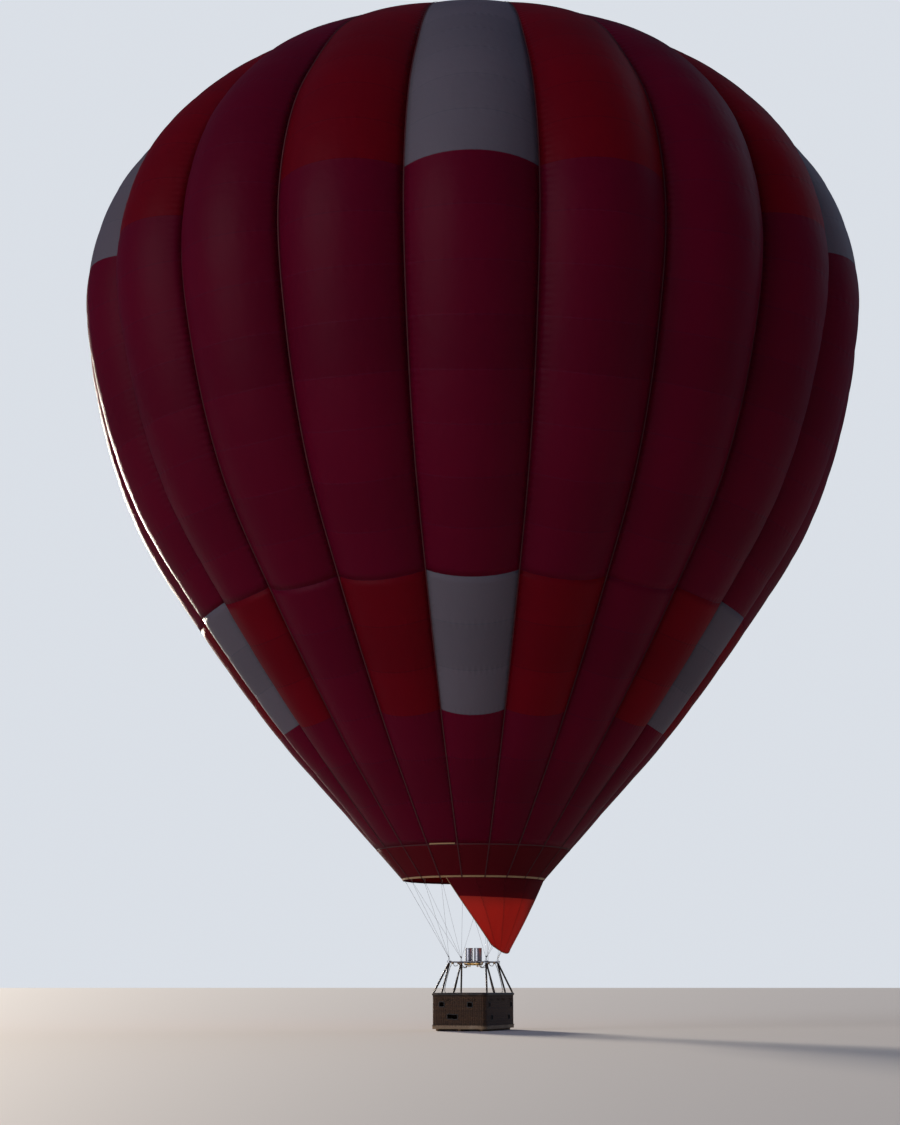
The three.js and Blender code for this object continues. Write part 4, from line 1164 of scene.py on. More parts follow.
line_mesh = bmesh.new()
low_end = ground(0.30, 0.55, 2.05)
top_end = pulley_centre + Vector((0.035, 0, -0.02))
tube(line_mesh, [low_end.lerp(top_end, part / 40) for part in range(41)], 0.005, 8)
red_line = finished(line_mesh, "red_line", "red_line", body=None)
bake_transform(red_line)
print("lines drawn")

# %% [markdown]
# ## Flying wires
# Five steel cables fan out from each corner of the burner frame to the feet of the load tapes. Each
# ends in a ferrule and a loop of webbing above, and all five hang in one karabiner below.

# %% Flying wires
FRAME_HALF = 0.6
FRAME_HEIGHT = 2.06
CORNERS = [  # name, side in x, side in y, first seam
    ("front_right", 1, -1, 0),
    ("back_right", 1, 1, 5),
    ("back_left", -1, 1, 10),
    ("front_left", -1, -1, 15),
]
foot_low = gore_point(length_at_height(MOUTH_HEIGHT + 0.008), 1)
FACET_SLACK, HALF_TAB = 0.0008, 0.013
# The wires end inside the band: its cloth, the slack of its facets, the gap and half an end tab further in
wire_radius = math.hypot(foot_low.x, foot_low.y) - SHEET - FACET_SLACK - SEAT - HALF_TAB
karabiner_low = FRAME_HEIGHT + 0.035
for corner, side_x, side_y, first in CORNERS:
    wires = bmesh.new()
    eye = ground(side_x * FRAME_HALF, side_y * FRAME_HALF, karabiner_low + 0.08)
    for wire in range(5):
        azimuth = (first + wire + 0.5) * GORE_PITCH
        top = around(azimuth, wire_radius, MOUTH_HEIGHT + 0.03)
        tube(wires, [eye.lerp(top, part / 4) for part in range(5)], 0.0035, 6)
        for end, towards in ((eye, top), (top, eye)):
            along_wire = (towards - end).normalized()
            ferrule_path = [end + along_wire * reach for reach in (0.02, 0.03, 0.075, 0.085)]
            tube(wires, ferrule_path, [0.004, 0.008, 0.008, 0.004], 8)
    # The karabiner: a D of rod with a screw gate
    low = ground(side_x * FRAME_HALF, side_y * FRAME_HALF, karabiner_low + 0.006)
    rod = [
        (-0.016, 0.0), (0.004, 0.0), (0.014, 0.01), (0.015, 0.04), (0.015, 0.068), (0.006, 0.078),
        (-0.008, 0.078), (-0.016, 0.066), (-0.018, 0.03)
    ]
    tube(wires, [low + Vector((x * side_x, 0, z)) for x, z in rod], 0.006, 8, closed=True)
    gate = [low + Vector((0.0145 * side_x, 0, z)) for z in (0.018, 0.02, 0.05, 0.052)]
    tube(wires, gate, [0.006, 0.0085, 0.0085, 0.006], 10)
    finished(wires, f"wires_{corner}", "wire_rope", replaces=[f"flying_wires_{corner}"])

loop_mesh = bmesh.new()
top = around(0, wire_radius, MOUTH_HEIGHT + 0.03)
frames = []
for turn in np.linspace(math.pi * 1.9, math.pi * 0.1, 14):
    out = ALONG_Y * math.cos(turn) + UP * math.sin(turn)
    point = top + ALONG_Y * 0.006 * math.cos(turn) + UP * 0.006 * math.sin(turn)
    frames.append((point, out, ALONG_X))
ribbon(loop_mesh, frames, 0.03, 0.0025)
frames = [(top + Vector((0, -0.0095, rise)), -ALONG_Y, ALONG_X) for rise in (-0.004, 0.05, 0.12)]
ribbon(loop_mesh, frames, 0.03, 0.003)
repeated(loop_mesh, "wire_loops", "pale_webbing", turn=GORE_PITCH / 2)

# %% [markdown]
# ## Burner frame and gimbal
# The frame is a square of steel tube with a machined block at each corner, which takes the uprights
# below and a karabiner above. Inside it hangs the gimbal, a lighter ring that tilts about one axis,
# and the burners tilt in it about the other.

# %% Burner frame
BOLTS = [(-0.04, -0.04), (0.04, 0.04), (-0.04, 0.04), (0.04, -0.04)]
BOLT_PROFILE = [
    (0, -0.036), (0.009, -0.036), (0.009, -0.03), (0.005, -0.03), (0.005, 0.036), (0.010, 0.036),
    (0.010, 0.041), (0, 0.041)
]


def rounded_outline(half_x, half_y, radius, height, steps=6):
    # Points round a level rectangle with round corners
    points = []
    for index, (x, y) in enumerate(((1, 1), (-1, 1), (-1, -1), (1, -1))):
        centre = ground(x * (half_x - radius), y * (half_y - radius), height)
        points += arc(centre, radius, 90 * index, 90 * index + 90, steps)
    return points


frame_mesh = bmesh.new()
tube(frame_mesh, rounded_outline(FRAME_HALF, FRAME_HALF, 0.05, FRAME_HEIGHT), 0.02, 16, closed=True)
for side_x in (-1, 1):
    for side_y in (-1, 1):
        corner = ground(side_x * FRAME_HALF, side_y * FRAME_HALF, FRAME_HEIGHT)
        for rise in (0.023, -0.023):
            block(frame_mesh, (0.118, 0.118, 0.022), corner + UP * rise, 0.004)
        for dx, dy in BOLTS:
            turned(frame_mesh, BOLT_PROFILE, corner + Vector((dx, dy, 0)), 10)
    # Lugs at the middle of two sides
    lug = ground(side_x * (FRAME_HALF + 0.035), 0, FRAME_HEIGHT)
    block(frame_mesh, (0.03, 0.058, 0.02), lug - Vector((side_x * 0.012, 0, 0)), 0.004)
    eye = arc(lug + Vector((side_x * 0.016, 0, 0)), 0.019, 0, 345, 16)
    tube(frame_mesh, eye, 0.0055, 8, closed=True)
for side_y in (-1, 1):
    bracket = ground(0, side_y * (FRAME_HALF - 0.03), FRAME_HEIGHT)
    block(frame_mesh, (0.058, 0.044, 0.058), bracket, 0.006)
    turned(
        frame_mesh,
        [(0.0115, -0.026), (0.019, -0.026), (0.021, -0.02), (0.021, 0.02), (0.019, 0.026), (0.0115, 0.026)],
        matrix=lying(bracket), segments=24
    )
finished(frame_mesh, "frame_steelwork", "frame_steel", replaces=["burner_frame"])

# %% Gimbal ring
gimbal_mesh = bmesh.new()
tube(gimbal_mesh, rounded_outline(0.48, 0.38, 0.03, FRAME_HEIGHT, 4), 0.015, 12, closed=True)
for side in (-1, 1):
    tube(gimbal_mesh, [ground(0, side * y, FRAME_HEIGHT) for y in (0.37, 0.545)], 0.009, 16)
    turned(
        gimbal_mesh,
        [(0.009, -0.02), (0.02, -0.02), (0.022, -0.012), (0.022, 0.012), (0.02, 0.02), (0.009, 0.02)],
        matrix=lying(ground(0, side * 0.41, FRAME_HEIGHT)), segments=24
    )
    block(gimbal_mesh, (0.05, 0.07, 0.045), ground(side * 0.48, 0, FRAME_HEIGHT), 0.006)
    for end in (-1, 1):
        block(gimbal_mesh, (0.05, 0.05, 0.036), ground(side * 0.465, end * 0.365, FRAME_HEIGHT), 0.008)
finished(gimbal_mesh, "gimbal_steelwork", "frame_steel", "gimbal", ["gimbal_ring"])

# %% [markdown]
# ## Burners
# Each burner is an open steel can. Liquid fuel runs through a coil of tube inside it, is heated by the
# flame, and burns above a ring of jets. A pilot light keeps the flame ready. Both cans stand on a block
# with the blast valves, their levers, and the taps for the quiet burners.

# %% Cans, coils and jets
CAN_PLACE = 0.145
CAN_RADIUS = 0.1195
COIL_RADIUS = 0.1
JET_RADIUS = 0.055
for name, side in (("left", -1), ("right", 1)):
    base = Matrix.Translation(ground(side * CAN_PLACE, 0, FRAME_HEIGHT))
    can = bmesh.new()
    wall = [
        (0.084, -0.029), (0.100, -0.012), (0.116, 0.02), (CAN_RADIUS, 0.034), (0.122, 0.037),
        (0.122, 0.045), (CAN_RADIUS, 0.048), (CAN_RADIUS, 0.418)
    ]
    bead = [
        (CAN_RADIUS + 0.0055 * math.sin(turn), 0.4235 - 0.0055 * math.cos(turn))
        for turn in np.linspace(0.4, math.pi * 1.9, 10)
    ]
    inside = [(0.1165, 0.41), (0.1165, 0.048), (0.113, 0.024), (0.096, -0.008), (0.080, -0.024)]
    turned(can, wall + bead + inside, segments=48, matrix=base)
    # Two straps round the can
    for height in (0.13, 0.33):
        low, high, outer = height - 0.012, height + 0.012, CAN_RADIUS + 0.0023
        strap = [(CAN_RADIUS, low), (outer, low), (outer, high), (CAN_RADIUS, high)]
        turned(can, strap, segments=48, matrix=base)
    replaced = [f"burner_can_{name}"]
    finished(can, f"can_{name}", "brushed_steel", "burner", replaced, sharp=30)

    coil = bmesh.new()
    turns, steps = 7, 22
    helix = []
    for step in range(turns * steps + 1):
        angle = 2 * math.pi * step / steps
        rise = 0.12 + 0.27 * step / (turns * steps)
        place = (COIL_RADIUS * math.cos(angle), COIL_RADIUS * math.sin(angle), rise)
        helix.append(base @ Vector(place))
    riser = [base @ Vector((COIL_RADIUS, 0, rise)) for rise in (-0.01, 0.04, 0.09)]
    inner_run = [(0.008, 0.4), (0.03, 0.404), (0.045, 0.39), (0.047, 0.3), (0.047, 0.1), (0.047, 0.02)]
    fall = [base @ Vector((COIL_RADIUS - inwards, 0.0, rise)) for inwards, rise in inner_run]
    tube(coil, riser + helix + fall, 0.0065, 8)
    tube(coil, arc(base @ Vector((0, 0, 0.075)), JET_RADIUS, 0, 345, 24), 0.009, 10, closed=True)
    for jet in range(12):
        angle = 2 * math.pi * (jet + 0.5) / 12
        foot = base @ Vector((JET_RADIUS * math.cos(angle), JET_RADIUS * math.sin(angle), 0.083))
        profile = [(0, 0), (0.0052, 0), (0.0052, 0.008), (0.003, 0.013), (0, 0.013)]
        turned(coil, profile, segments=8, matrix=Matrix.Translation(foot))
    for cross in range(2):
        turn = base @ Matrix.Rotation(cross * math.pi / 2, 4, "Z")
        tube(coil, [turn @ Vector((x, 0, 0.062)) for x in (-0.114, -0.04, 0.04, 0.114)], 0.006, 8)
    # Pilot light: a small cup on a stalk
    turned(
        coil,
        [
            (0, -0.02), (0.01, -0.02), (0.01, 0.05), (0.019, 0.06), (0.019, 0.1), (0.016, 0.1),
            (0.016, 0.066), (0, 0.06)
        ],
        segments=16, matrix=base
    )
    finished(coil, f"coil_{name}", "brass", "burner", [f"burner_coil_{name}"])

# %% Valve block, levers and taps
block_mesh = bmesh.new()
block_top = FRAME_HEIGHT - 0.0303
block(block_mesh, (0.56, 0.1, 0.05), ground(0, 0, block_top - 0.035), 0.008)
block(block_mesh, (0.13, 0.118, 0.069), ground(0, 0, block_top - 0.035), 0.01)
for side in (-1, 1):
    block(block_mesh, (0.13, 0.118, 0.069), ground(side * CAN_PLACE, 0, block_top - 0.035), 0.01)
    block(block_mesh, (0.028, 0.058, 0.098), ground(side * 0.285, 0, FRAME_HEIGHT - 0.03), 0.006)
    tube(block_mesh, [ground(side * x, 0, FRAME_HEIGHT) for x in (0.28, 0.4646)], 0.009, 16)
    for end in (-1, 1):
        turned(
            block_mesh,
            [
                (0, -0.05), (0.011, -0.05), (0.011, -0.04), (0.016, -0.036), (0.016, -0.012),
                (0.011, -0.008), (0.011, 0), (0, 0)
            ],
            ground(side * (CAN_PLACE + end * 0.03), 0, block_top - 0.07), 6
        )
finished(block_mesh, "valve_block", "brass", "burner", ["burner_block"])

lever_mesh, grip_mesh = bmesh.new(), bmesh.new()
for side in (-1, 1):
    for end in (-1, 1):
        pivot = ground(side * CAN_PLACE, end * 0.062, block_top - 0.035)
        bends = [(0, 0.02, 0), (0.02, 0.05, -0.02), (0.03, 0.075, -0.075)]
        path = [pivot] + [pivot + Vector((side * x, end * y, z)) for x, y, z in bends]
        tube(lever_mesh, path, 0.0055, 8)
        low = pivot + Vector((side * 0.031, end * 0.077, -0.08))
        high = pivot + Vector((side * 0.024, end * 0.06, -0.04))
        path = [low.lerp(high, part) for part in (0, 0.04, 0.5, 0.96, 1)]
        tube(grip_mesh, path, [0.008, 0.0105, 0.0095, 0.0105, 0.008], 12)
finished(lever_mesh, "lever_rods", "brushed_steel", "burner")
finished(grip_mesh, "lever_grips", "red_grip", "burner")
tap_mesh = bmesh.new()
for side in (-1, 1):
    for step in range(2):
        place = ground(side * (0.205 + 0.035 * step), -0.05, block_top - 0.035)
        turned(
            tap_mesh,
            [(0, 0), (0.005, 0), (0.005, 0.02), (0.014, 0.022), (0.015, 0.028), (0.012, 0.036), (0, 0.037)],
            segments=12, matrix=lying(place)
        )
finished(tap_mesh, "quiet_taps", "black_grip", "burner")
print("burners built")

# %% [markdown]
# ## Hoses
# Rubber hoses bring the fuel from the cylinders, up beside the uprights, to brass unions under the burner
# frame. From there to unions under the gimbal, and from those to the burners, a loop of hose has slack.
# Each such loop is on no body, and its unions sit on the two bodies that it joins.

# %% Hoses from the cylinders to the burners
def smooth_path(corners, steps=8):
    # Catmull-Rom points through the corners
    corners = [Vector(corner) for corner in corners]
    full = [2 * corners[0] - corners[1]] + corners + [2 * corners[-1] - corners[-2]]
    points = []
    for index in range(1, len(full) - 2):
        p0, p1, p2, p3 = full[index - 1 : index + 3]
        slope, bend = p2 - p0, 2 * p0 - 5 * p1 + 4 * p2 - p3
        for step in range(steps):
            t = step / steps
            points.append(0.5 * (2 * p1 + slope * t + bend * t**2 + (3 * p1 - p0 - 3 * p2 + p3) * t**3))
    return points + [corners[-1]]


def ferrule(mesh_data, path):
    # A nut and a crimped sleeve over the first 36 mm of a hose
    ahead = (path[1] - path[0]).normalized()
    reaches = (-0.004, 0.0, 0.012, 0.014, 0.034, 0.036)
    radii = [0.011, 0.0145, 0.0145, 0.0118, 0.0118, 0.0095]
    tube(mesh_data, [path[0] + ahead * reach for reach in reaches], radii, 12)


HOSE_RADIUS = 0.009
unions = {body: bmesh.new() for body in ("balloon", "gimbal", "burner")}
fuel_hoses = bmesh.new()
for side_name, side in (("left", -1), ("right", 1)):
    for end_name, end in (("front", -1), ("back", 1)):
        # Unions clamped under the frame's tube and under the gimbal's
        under_frame = ground(side * 0.585, end * 0.305, FRAME_HEIGHT - 0.031)
        under_gimbal = ground(side * 0.465, end * 0.13, FRAME_HEIGHT - 0.027)
        block(unions["balloon"], (0.06, 0.06, 0.036), under_frame, 0.006)
        block(unions["gimbal"], (0.05, 0.05, 0.032), under_gimbal, 0.006)
        routes = {
            "gimbal": [(0.56, 0.3, -0.03), (0.55, 0.26, -0.11), (0.49, 0.18, -0.11), (0.45, 0.14, -0.035)],
            "burner": [
                (0.445, 0.12, -0.03), (0.41, 0.13, -0.1), (0.3, 0.09, -0.17), (0.24, 0.04, -0.16),
                (0.24, 0.035, -0.108)
            ],
        }
        for (to_body, route), from_body in zip(routes.items(), ("balloon", "gimbal")):
            path = smooth_path([ground(side * x, end * y, FRAME_HEIGHT + drop) for x, y, drop in route])
            hose = bmesh.new()
            tube(hose, path, HOSE_RADIUS, 10)
            name = f"hose_{to_body}_{end_name}_{side_name}"
            made = finished(hose, name, "hose", body=None)
            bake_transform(made)
            ferrule(unions[from_body], path)
            ferrule(unions[to_body], path[::-1])
        rise = [(0.575, 0.31, 2.02), (0.6, 0.42, 1.96), (0.66, 0.52, 1.7), (0.76, 0.53, 1.28)]
        into = [(0.78, 0.44, 1.13), (0.72, 0.36, 1.06), (0.67, 0.32, 1.0)]
        path = smooth_path([ground(side * x, end * y, height) for x, y, height in rise + into])
        tube(fuel_hoses, path, HOSE_RADIUS, 10)
        ferrule(unions["balloon"], path)
finished(fuel_hoses, "fuel_hoses", "hose")
for body, union in unions.items():
    finished(union, f"hose_unions_{body}", "brass", body)
print("hoses and unions built")

# %% [markdown]
# ## Uprights
# Eight flexible rods hold the burner frame over the basket. Each wears a padded leather sleeve that four
# straps pull in. The sleeve is a tube that swells a little between its straps.

# %% Padded sleeves
UPRIGHTS = [("outer", 1.33, 0.63), ("inner", 0.56, 0.57)]  # name, foot and head along Y
FOOT_ACROSS, FOOT_HEIGHT, HEAD_HEIGHT = 0.8525, 1.1303, 2.0247
SLEEVE_RADIUS, SLEEVE_SWELL = 0.0265, 0.0022
QUARTERS = [  # name, side in x, side in y
    (f"{end_name}_{side_name}", side_x, side_y)
    for end_name, side_y in (("front", -1), ("back", 1))
    for side_name, side_x in (("left", -1), ("right", 1))
]
shares = np.linspace(0, 1, 41)
swell = [SLEEVE_RADIUS + SLEEVE_SWELL * abs(math.sin(5 * math.pi * share)) for share in shares]
swell[0] = swell[-1] = 0.019
swell[1] = swell[-2] = 0.0245
straps = bmesh.new()
for quarter, side_x, side_y in QUARTERS:
    for name, foot_y, head_y in UPRIGHTS:
        foot = ground(side_x * FOOT_ACROSS, side_y * foot_y, FOOT_HEIGHT)
        head = ground(side_x * FRAME_HALF, side_y * head_y, HEAD_HEIGHT)
        sleeve = bmesh.new()
        tube(sleeve, [foot.lerp(head, share) for share in shares], swell, 18)
        replaced = [f"upright_{quarter}_{name}"]
        name = f"sleeve_{quarter}_{name}"
        made = finished(sleeve, name, "upright_leather", replaces=replaced)
        along_rod = (head - foot).normalized()
        for share in (0.2, 0.4, 0.6, 0.8):
            middle = foot.lerp(head, share)
            path = [middle + along_rod * step for step in (-0.013, -0.012, 0.012, 0.013)]
            tube(straps, path, [0.027, 0.0295, 0.0295, 0.027], 18)
finished(straps, "sleeve_straps", "rim_leather")
print("uprights dressed")

# %% [markdown]
# ## Wicker
# The basket is woven: upright stakes stand a few centimetres apart, and willow rods pass in front of one
# and behind the next, each row the other way round from the row below. That is a rule, so Geometry Nodes
# weave it from a line that runs along the wall. The rows are beaten down hard, so a rod is a little oval.
# The line is sampled at and between the stakes, and each sample moves out or in with a cosine. The rows
# stay plain edges until the openings are cut, so every piece of rod is a curve of its own with closed
# ends.

# %% Tree that weaves a wall
STEPS = 3  # samples from one stake to the next
REACH = 1.5  # how far a rod's middle moves out or in, in rod radii
POST_POINTS = 37  # points along a stake
TONE_SHIFT = 37.0  # metres by which the willow's grain may differ from rod to rod
weave, enter, leave = new_group(
    "woven_wall",
    "GeometryNodeTree",
    [
        ("Geometry", "Geometry", None),
        ("Stakes", "Int", 26),
        ("Pairs Of Rows", "Int", 46),
        ("Rod Radius", "Float", 0.0076),
        ("Rod Sides", "Int", 5),
        ("Rod Height", "Float", 1.24),
        ("Bottom", "Float", 0.0),
        ("Row Pitch", "Float", 0.01048),
        ("End Stakes Left Out", "Int", 0),
        ("Openings", "Object", None),
        ("Opening Half Width", "Float", 0.088),
        ("Opening Half Height", "Float", 0.078),
        ("Seed", "Int", 1),
        ("Material", "Material", None),
    ],
    [("Geometry", "Geometry")],
)
line = add(weave, "GeometryNodeMeshToCurve", {0: enter["Geometry"]}).outputs[0]
samples = calc(weave, "MULTIPLY_ADD", enter["Stakes"], STEPS, 1)
inputs = {"Curve": line, "Count": samples}
even = add(weave, "GeometryNodeResampleCurve", inputs, mode="COUNT").outputs[0]
index = add(weave, "GeometryNodeInputIndex").outputs[0]
tangent = add(weave, "GeometryNodeInputTangent").outputs[0]
level_normal = vector_calc(weave, "CROSS_PRODUCT", tangent, (0, 0, 1))
outwards = vector_calc(weave, "NORMALIZE", level_normal)
wave = calc(weave, "COSINE", calc(weave, "MULTIPLY", index, math.pi / STEPS))
reach = calc(weave, "MULTIPLY", wave, calc(weave, "MULTIPLY", enter["Rod Radius"], REACH))
joined = weave.nodes.new("GeometryNodeJoinGeometry")
for side, level in ((1.0, 0.5), (-1.0, 1.5)):
    aside = scaled(weave, outwards, calc(weave, "MULTIPLY", reach, side))
    rise = calc(weave, "MULTIPLY_ADD", enter["Row Pitch"], level, enter["Bottom"])
    lift = add(weave, "ShaderNodeCombineXYZ", {2: rise}).outputs[0]
    inputs = {"Geometry": even, "Offset": vector_calc(weave, "ADD", aside, lift)}
    moved = add(weave, "GeometryNodeSetPosition", inputs).outputs[0]
    chain = add(weave, "GeometryNodeCurveToMesh", {"Curve": moved}).outputs[0]
    two_rows = calc(weave, "MULTIPLY", enter["Row Pitch"], 2.0)
    double_pitch = add(weave, "ShaderNodeCombineXYZ", {2: two_rows}).outputs[0]
    inputs = {"Count": enter["Pairs Of Rows"], "Offset": double_pitch}
    levels = add(weave, "GeometryNodeMeshLine", inputs, mode="OFFSET").outputs[0]
    rows = add(weave, "GeometryNodeInstanceOnPoints", {"Points": levels, "Instance": chain}).outputs[0]
    weave.links.new(rows, joined.inputs[0])

two_rows = calc(weave, "MULTIPLY", enter["Row Pitch"], 2.0)
tall = calc(weave, "MULTIPLY", two_rows, enter["Pairs Of Rows"])
post_rise = calc(weave, "DIVIDE", tall, POST_POINTS - 1.0)
post_step = add(weave, "ShaderNodeCombineXYZ", {2: post_rise}).outputs[0]
post_foot = add(weave, "ShaderNodeCombineXYZ", {2: enter["Bottom"]}).outputs[0]
inputs = {"Count": POST_POINTS, "Start Location": post_foot, "Offset": post_step}
post = add(weave, "GeometryNodeMeshLine", inputs, mode="OFFSET").outputs[0]
at_stake = calc(weave, "LESS_THAN", calc(weave, "MODULO", index, STEPS), 0.5)
margin = calc(weave, "MULTIPLY_ADD", enter["End Stakes Left Out"], STEPS, -0.5)
last = calc(weave, "SUBTRACT", calc(weave, "SUBTRACT", samples, 1.0), margin)
after_margin = calc(weave, "GREATER_THAN", index, margin)
inside_ends = calc(weave, "MULTIPLY", after_margin, calc(weave, "LESS_THAN", index, last))
chosen_points = calc(weave, "MULTIPLY", at_stake, inside_ends)
inputs = {"Points": even, "Selection": chosen_points, "Instance": post}
posts = add(weave, "GeometryNodeInstanceOnPoints", inputs).outputs[0]
weave.links.new(posts, joined.inputs[0])
real = add(weave, "GeometryNodeRealizeInstances", {0: joined.outputs[0]}).outputs[0]

openings = add(weave, "GeometryNodeObjectInfo", {"Object": enter["Openings"]}).outputs["Geometry"]
nearest = add(weave, "GeometryNodeSampleNearest", {"Geometry": openings}).outputs[0]
place = add(weave, "GeometryNodeInputPosition").outputs[0]
inputs = {"Geometry": openings, "Value": place, "Index": nearest}
centre = add(weave, "GeometryNodeSampleIndex", inputs, data_type="FLOAT_VECTOR").outputs[0]
from_centre = vector_calc(weave, "ABSOLUTE", vector_calc(weave, "SUBTRACT", place, centre))
apart = add(weave, "ShaderNodeSeparateXYZ", {0: from_centre}).outputs
level_apart = calc(weave, "MAXIMUM", apart["X"], apart["Y"])
within = calc(
    weave, "MULTIPLY", calc(weave, "LESS_THAN", level_apart, enter["Opening Half Width"]),
    calc(weave, "LESS_THAN", apart["Z"], enter["Opening Half Height"])
)
inputs = {"Geometry": real, "Selection": within}
cut_rows = add(weave, "GeometryNodeDeleteGeometry", inputs, domain="EDGE").outputs[0]

rods = add(weave, "GeometryNodeMeshToCurve", {0: cut_rows}).outputs[0]
which = add(weave, "GeometryNodeCurveOfPoint").outputs[0]
inputs = {"ID": which, "Seed": enter["Seed"]}
drawn = add(weave, "FunctionNodeRandomValue", inputs, data_type="FLOAT").outputs[1]
metres = add(weave, "GeometryNodeSplineParameter").outputs["Length"]
inputs = {0: calc(weave, "MULTIPLY", drawn, TONE_SHIFT), 2: metres}
run = add(weave, "ShaderNodeCombineXYZ", inputs).outputs[0]
marked = rods
for name, value, kind in (("rod_tone", drawn, "FLOAT"), ("run", run, "FLOAT_VECTOR")):
    inputs = {"Geometry": marked, "Name": name, "Value": value}
    kept = add(weave, "GeometryNodeStoreNamedAttribute", inputs, data_type=kind, domain="POINT")
    marked = kept.outputs[0]
inputs = {"Resolution": enter["Rod Sides"], "Radius": enter["Rod Radius"]}
circle = add(weave, "GeometryNodeCurvePrimitiveCircle", inputs).outputs[0]
oval = add(weave, "ShaderNodeCombineXYZ", {0: 1.0, 1: enter["Rod Height"], 2: 1.0}).outputs[0]
profile = add(weave, "GeometryNodeTransform", {"Geometry": circle, "Scale": oval}).outputs[0]
inputs = {"Curve": marked, "Profile Curve": profile, "Fill Caps": True}
round_rods = add(weave, "GeometryNodeCurveToMesh", inputs).outputs[0]
inputs = {"Geometry": round_rods, "Shade Smooth": True}
smooth = add(weave, "GeometryNodeSetShadeSmooth", inputs).outputs[0]
corners = add(weave, "GeometryNodeInputMeshFaceNeighbors").outputs["Vertex Count"]
rod_end = calc(weave, "GREATER_THAN", corners, 4.5)
inputs = {"Geometry": smooth, "Selection": rod_end, "Shade Smooth": False}
crisp = add(weave, "GeometryNodeSetShadeSmooth", inputs).outputs[0]
inputs = {"Geometry": crisp, "Material": enter["Material"]}
weave.links.new(add(weave, "GeometryNodeSetMaterial", inputs).outputs[0], leave[0])
print("weaving tree:", len(weave.nodes), "nodes")

# %% [markdown]
# ## Basket walls, bulkheads and step holes
# Each short end turns both corners, and the long sides stand between them. Every run has an even number
# of gaps between its stakes, so the rods meet where two runs join. Two bulkheads close off the pilot's
# bay, and a divider parts each of the other bays. Four step holes a wall are bound in leather.

# %% Weave the walls
HALF_X, HALF_Y, WALL_THICKNESS, CORNER = 0.875, 1.5, 0.045, 0.15
FLOOR_TOP = 0.0856  # the walls and the cylinders stand on it
END_STEPS = [(-0.54, 0.79), (0.36, 0.78), (-0.28, 0.43), (-0.11, 0.42)]
SIDE_STEPS = [(-1.12, 0.78), (-0.88, 0.4), (0.88, 0.4), (1.12, 0.78)]
middle_x, middle_y = HALF_X - WALL_THICKNESS / 2, HALF_Y - WALL_THICKNESS / 2
turn_radius = CORNER - WALL_THICKNESS / 2
SIDE_END = HALF_Y - CORNER + 0.003  # laps the short end's rods by 3 mm


def end_line(side):
    right = arc(ground(HALF_X - CORNER, -(HALF_Y - CORNER), 0), turn_radius, 0, -90, 10)
    left = arc(ground(-(HALF_X - CORNER), -(HALF_Y - CORNER), 0), turn_radius, -90, -180, 10)
    return [Matrix.Rotation(0 if side < 0 else math.pi, 3, "Z") @ point for point in right + left]


WALLS = [  # node, line along it, openings, gaps between stakes, end stakes left out
    ("basket_end_front", end_line(-1), [ground(x, -middle_y, z) for x, z in END_STEPS], 26, 0),
    ("basket_end_back", end_line(1), [ground(x, middle_y, z) for x, z in END_STEPS], 26, 0),
    (
        "basket_side_left", [ground(-middle_x, y, 0) for y in (-SIDE_END, SIDE_END)],
        [ground(-middle_x, y, z) for y, z in SIDE_STEPS], 38, 1
    ),
    (
        "basket_side_right", [ground(middle_x, y, 0) for y in (SIDE_END, -SIDE_END)],
        [ground(middle_x, y, z) for y, z in SIDE_STEPS], 38, 1
    ),
    ("bulkhead_front", [ground(x, -0.5, 0) for x in (0.818, -0.818)], [], 22, 0),
    ("bulkhead_back", [ground(x, 0.5, 0) for x in (0.818, -0.818)], [], 22, 0),
    ("divider_front", [ground(0, y, 0) for y in (-1.446, -0.536)], [], 12, 0),
    ("divider_back", [ground(0, y, 0) for y in (0.536, 1.446)], [], 12, 0),
]
no_opening = [Vector((0, 0, 500))]
for number, (node, line, centres, gaps, left_out) in enumerate(WALLS):
    marks = bpy.data.meshes.new("openings")
    marks.from_pydata([tuple(point) for point in (centres or no_opening)], [], [])
    marks_object = bpy.data.objects.new("openings", marks)
    bpy.context.scene.collection.objects.link(marks_object)
    mesh = bpy.data.meshes.new(node)
    mesh.from_pydata([tuple(point) for point in line], [(i, i + 1) for i in range(len(line) - 1)], [])
    woven = shown_object(f"woven_{node}", mesh)
    values = {"Stakes": gaps, "Bottom": FLOOR_TOP, "End Stakes Left Out": left_out}
    values["Openings"] = marks_object
    values.update({"Seed": number + 1, "Rod Sides": 5 if centres else 4, "Material": looks["willow"]})
    result = grown(woven, weave, values)
    bpy.data.objects.remove(marks_object)
    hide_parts(node)
    print(node, sum(len(polygon.vertices) - 2 for polygon in result.polygons), "triangles")

# %% Leather round the step holes, and the rawhide strip at the bottom
HOLE_HALF_WIDTH, HOLE_HALF_HEIGHT, HOLE_CORNER = 0.075, 0.065, 0.022
EDGING_WIDTH, EDGING_DEPTH = 0.02, 0.052
EDGING_SECTION = [
    (0, -0.4), (0.12, -0.5), (0.88, -0.5), (1, -0.4), (1, 0.4), (0.88, 0.5), (0.12, 0.5), (0, 0.4)
]


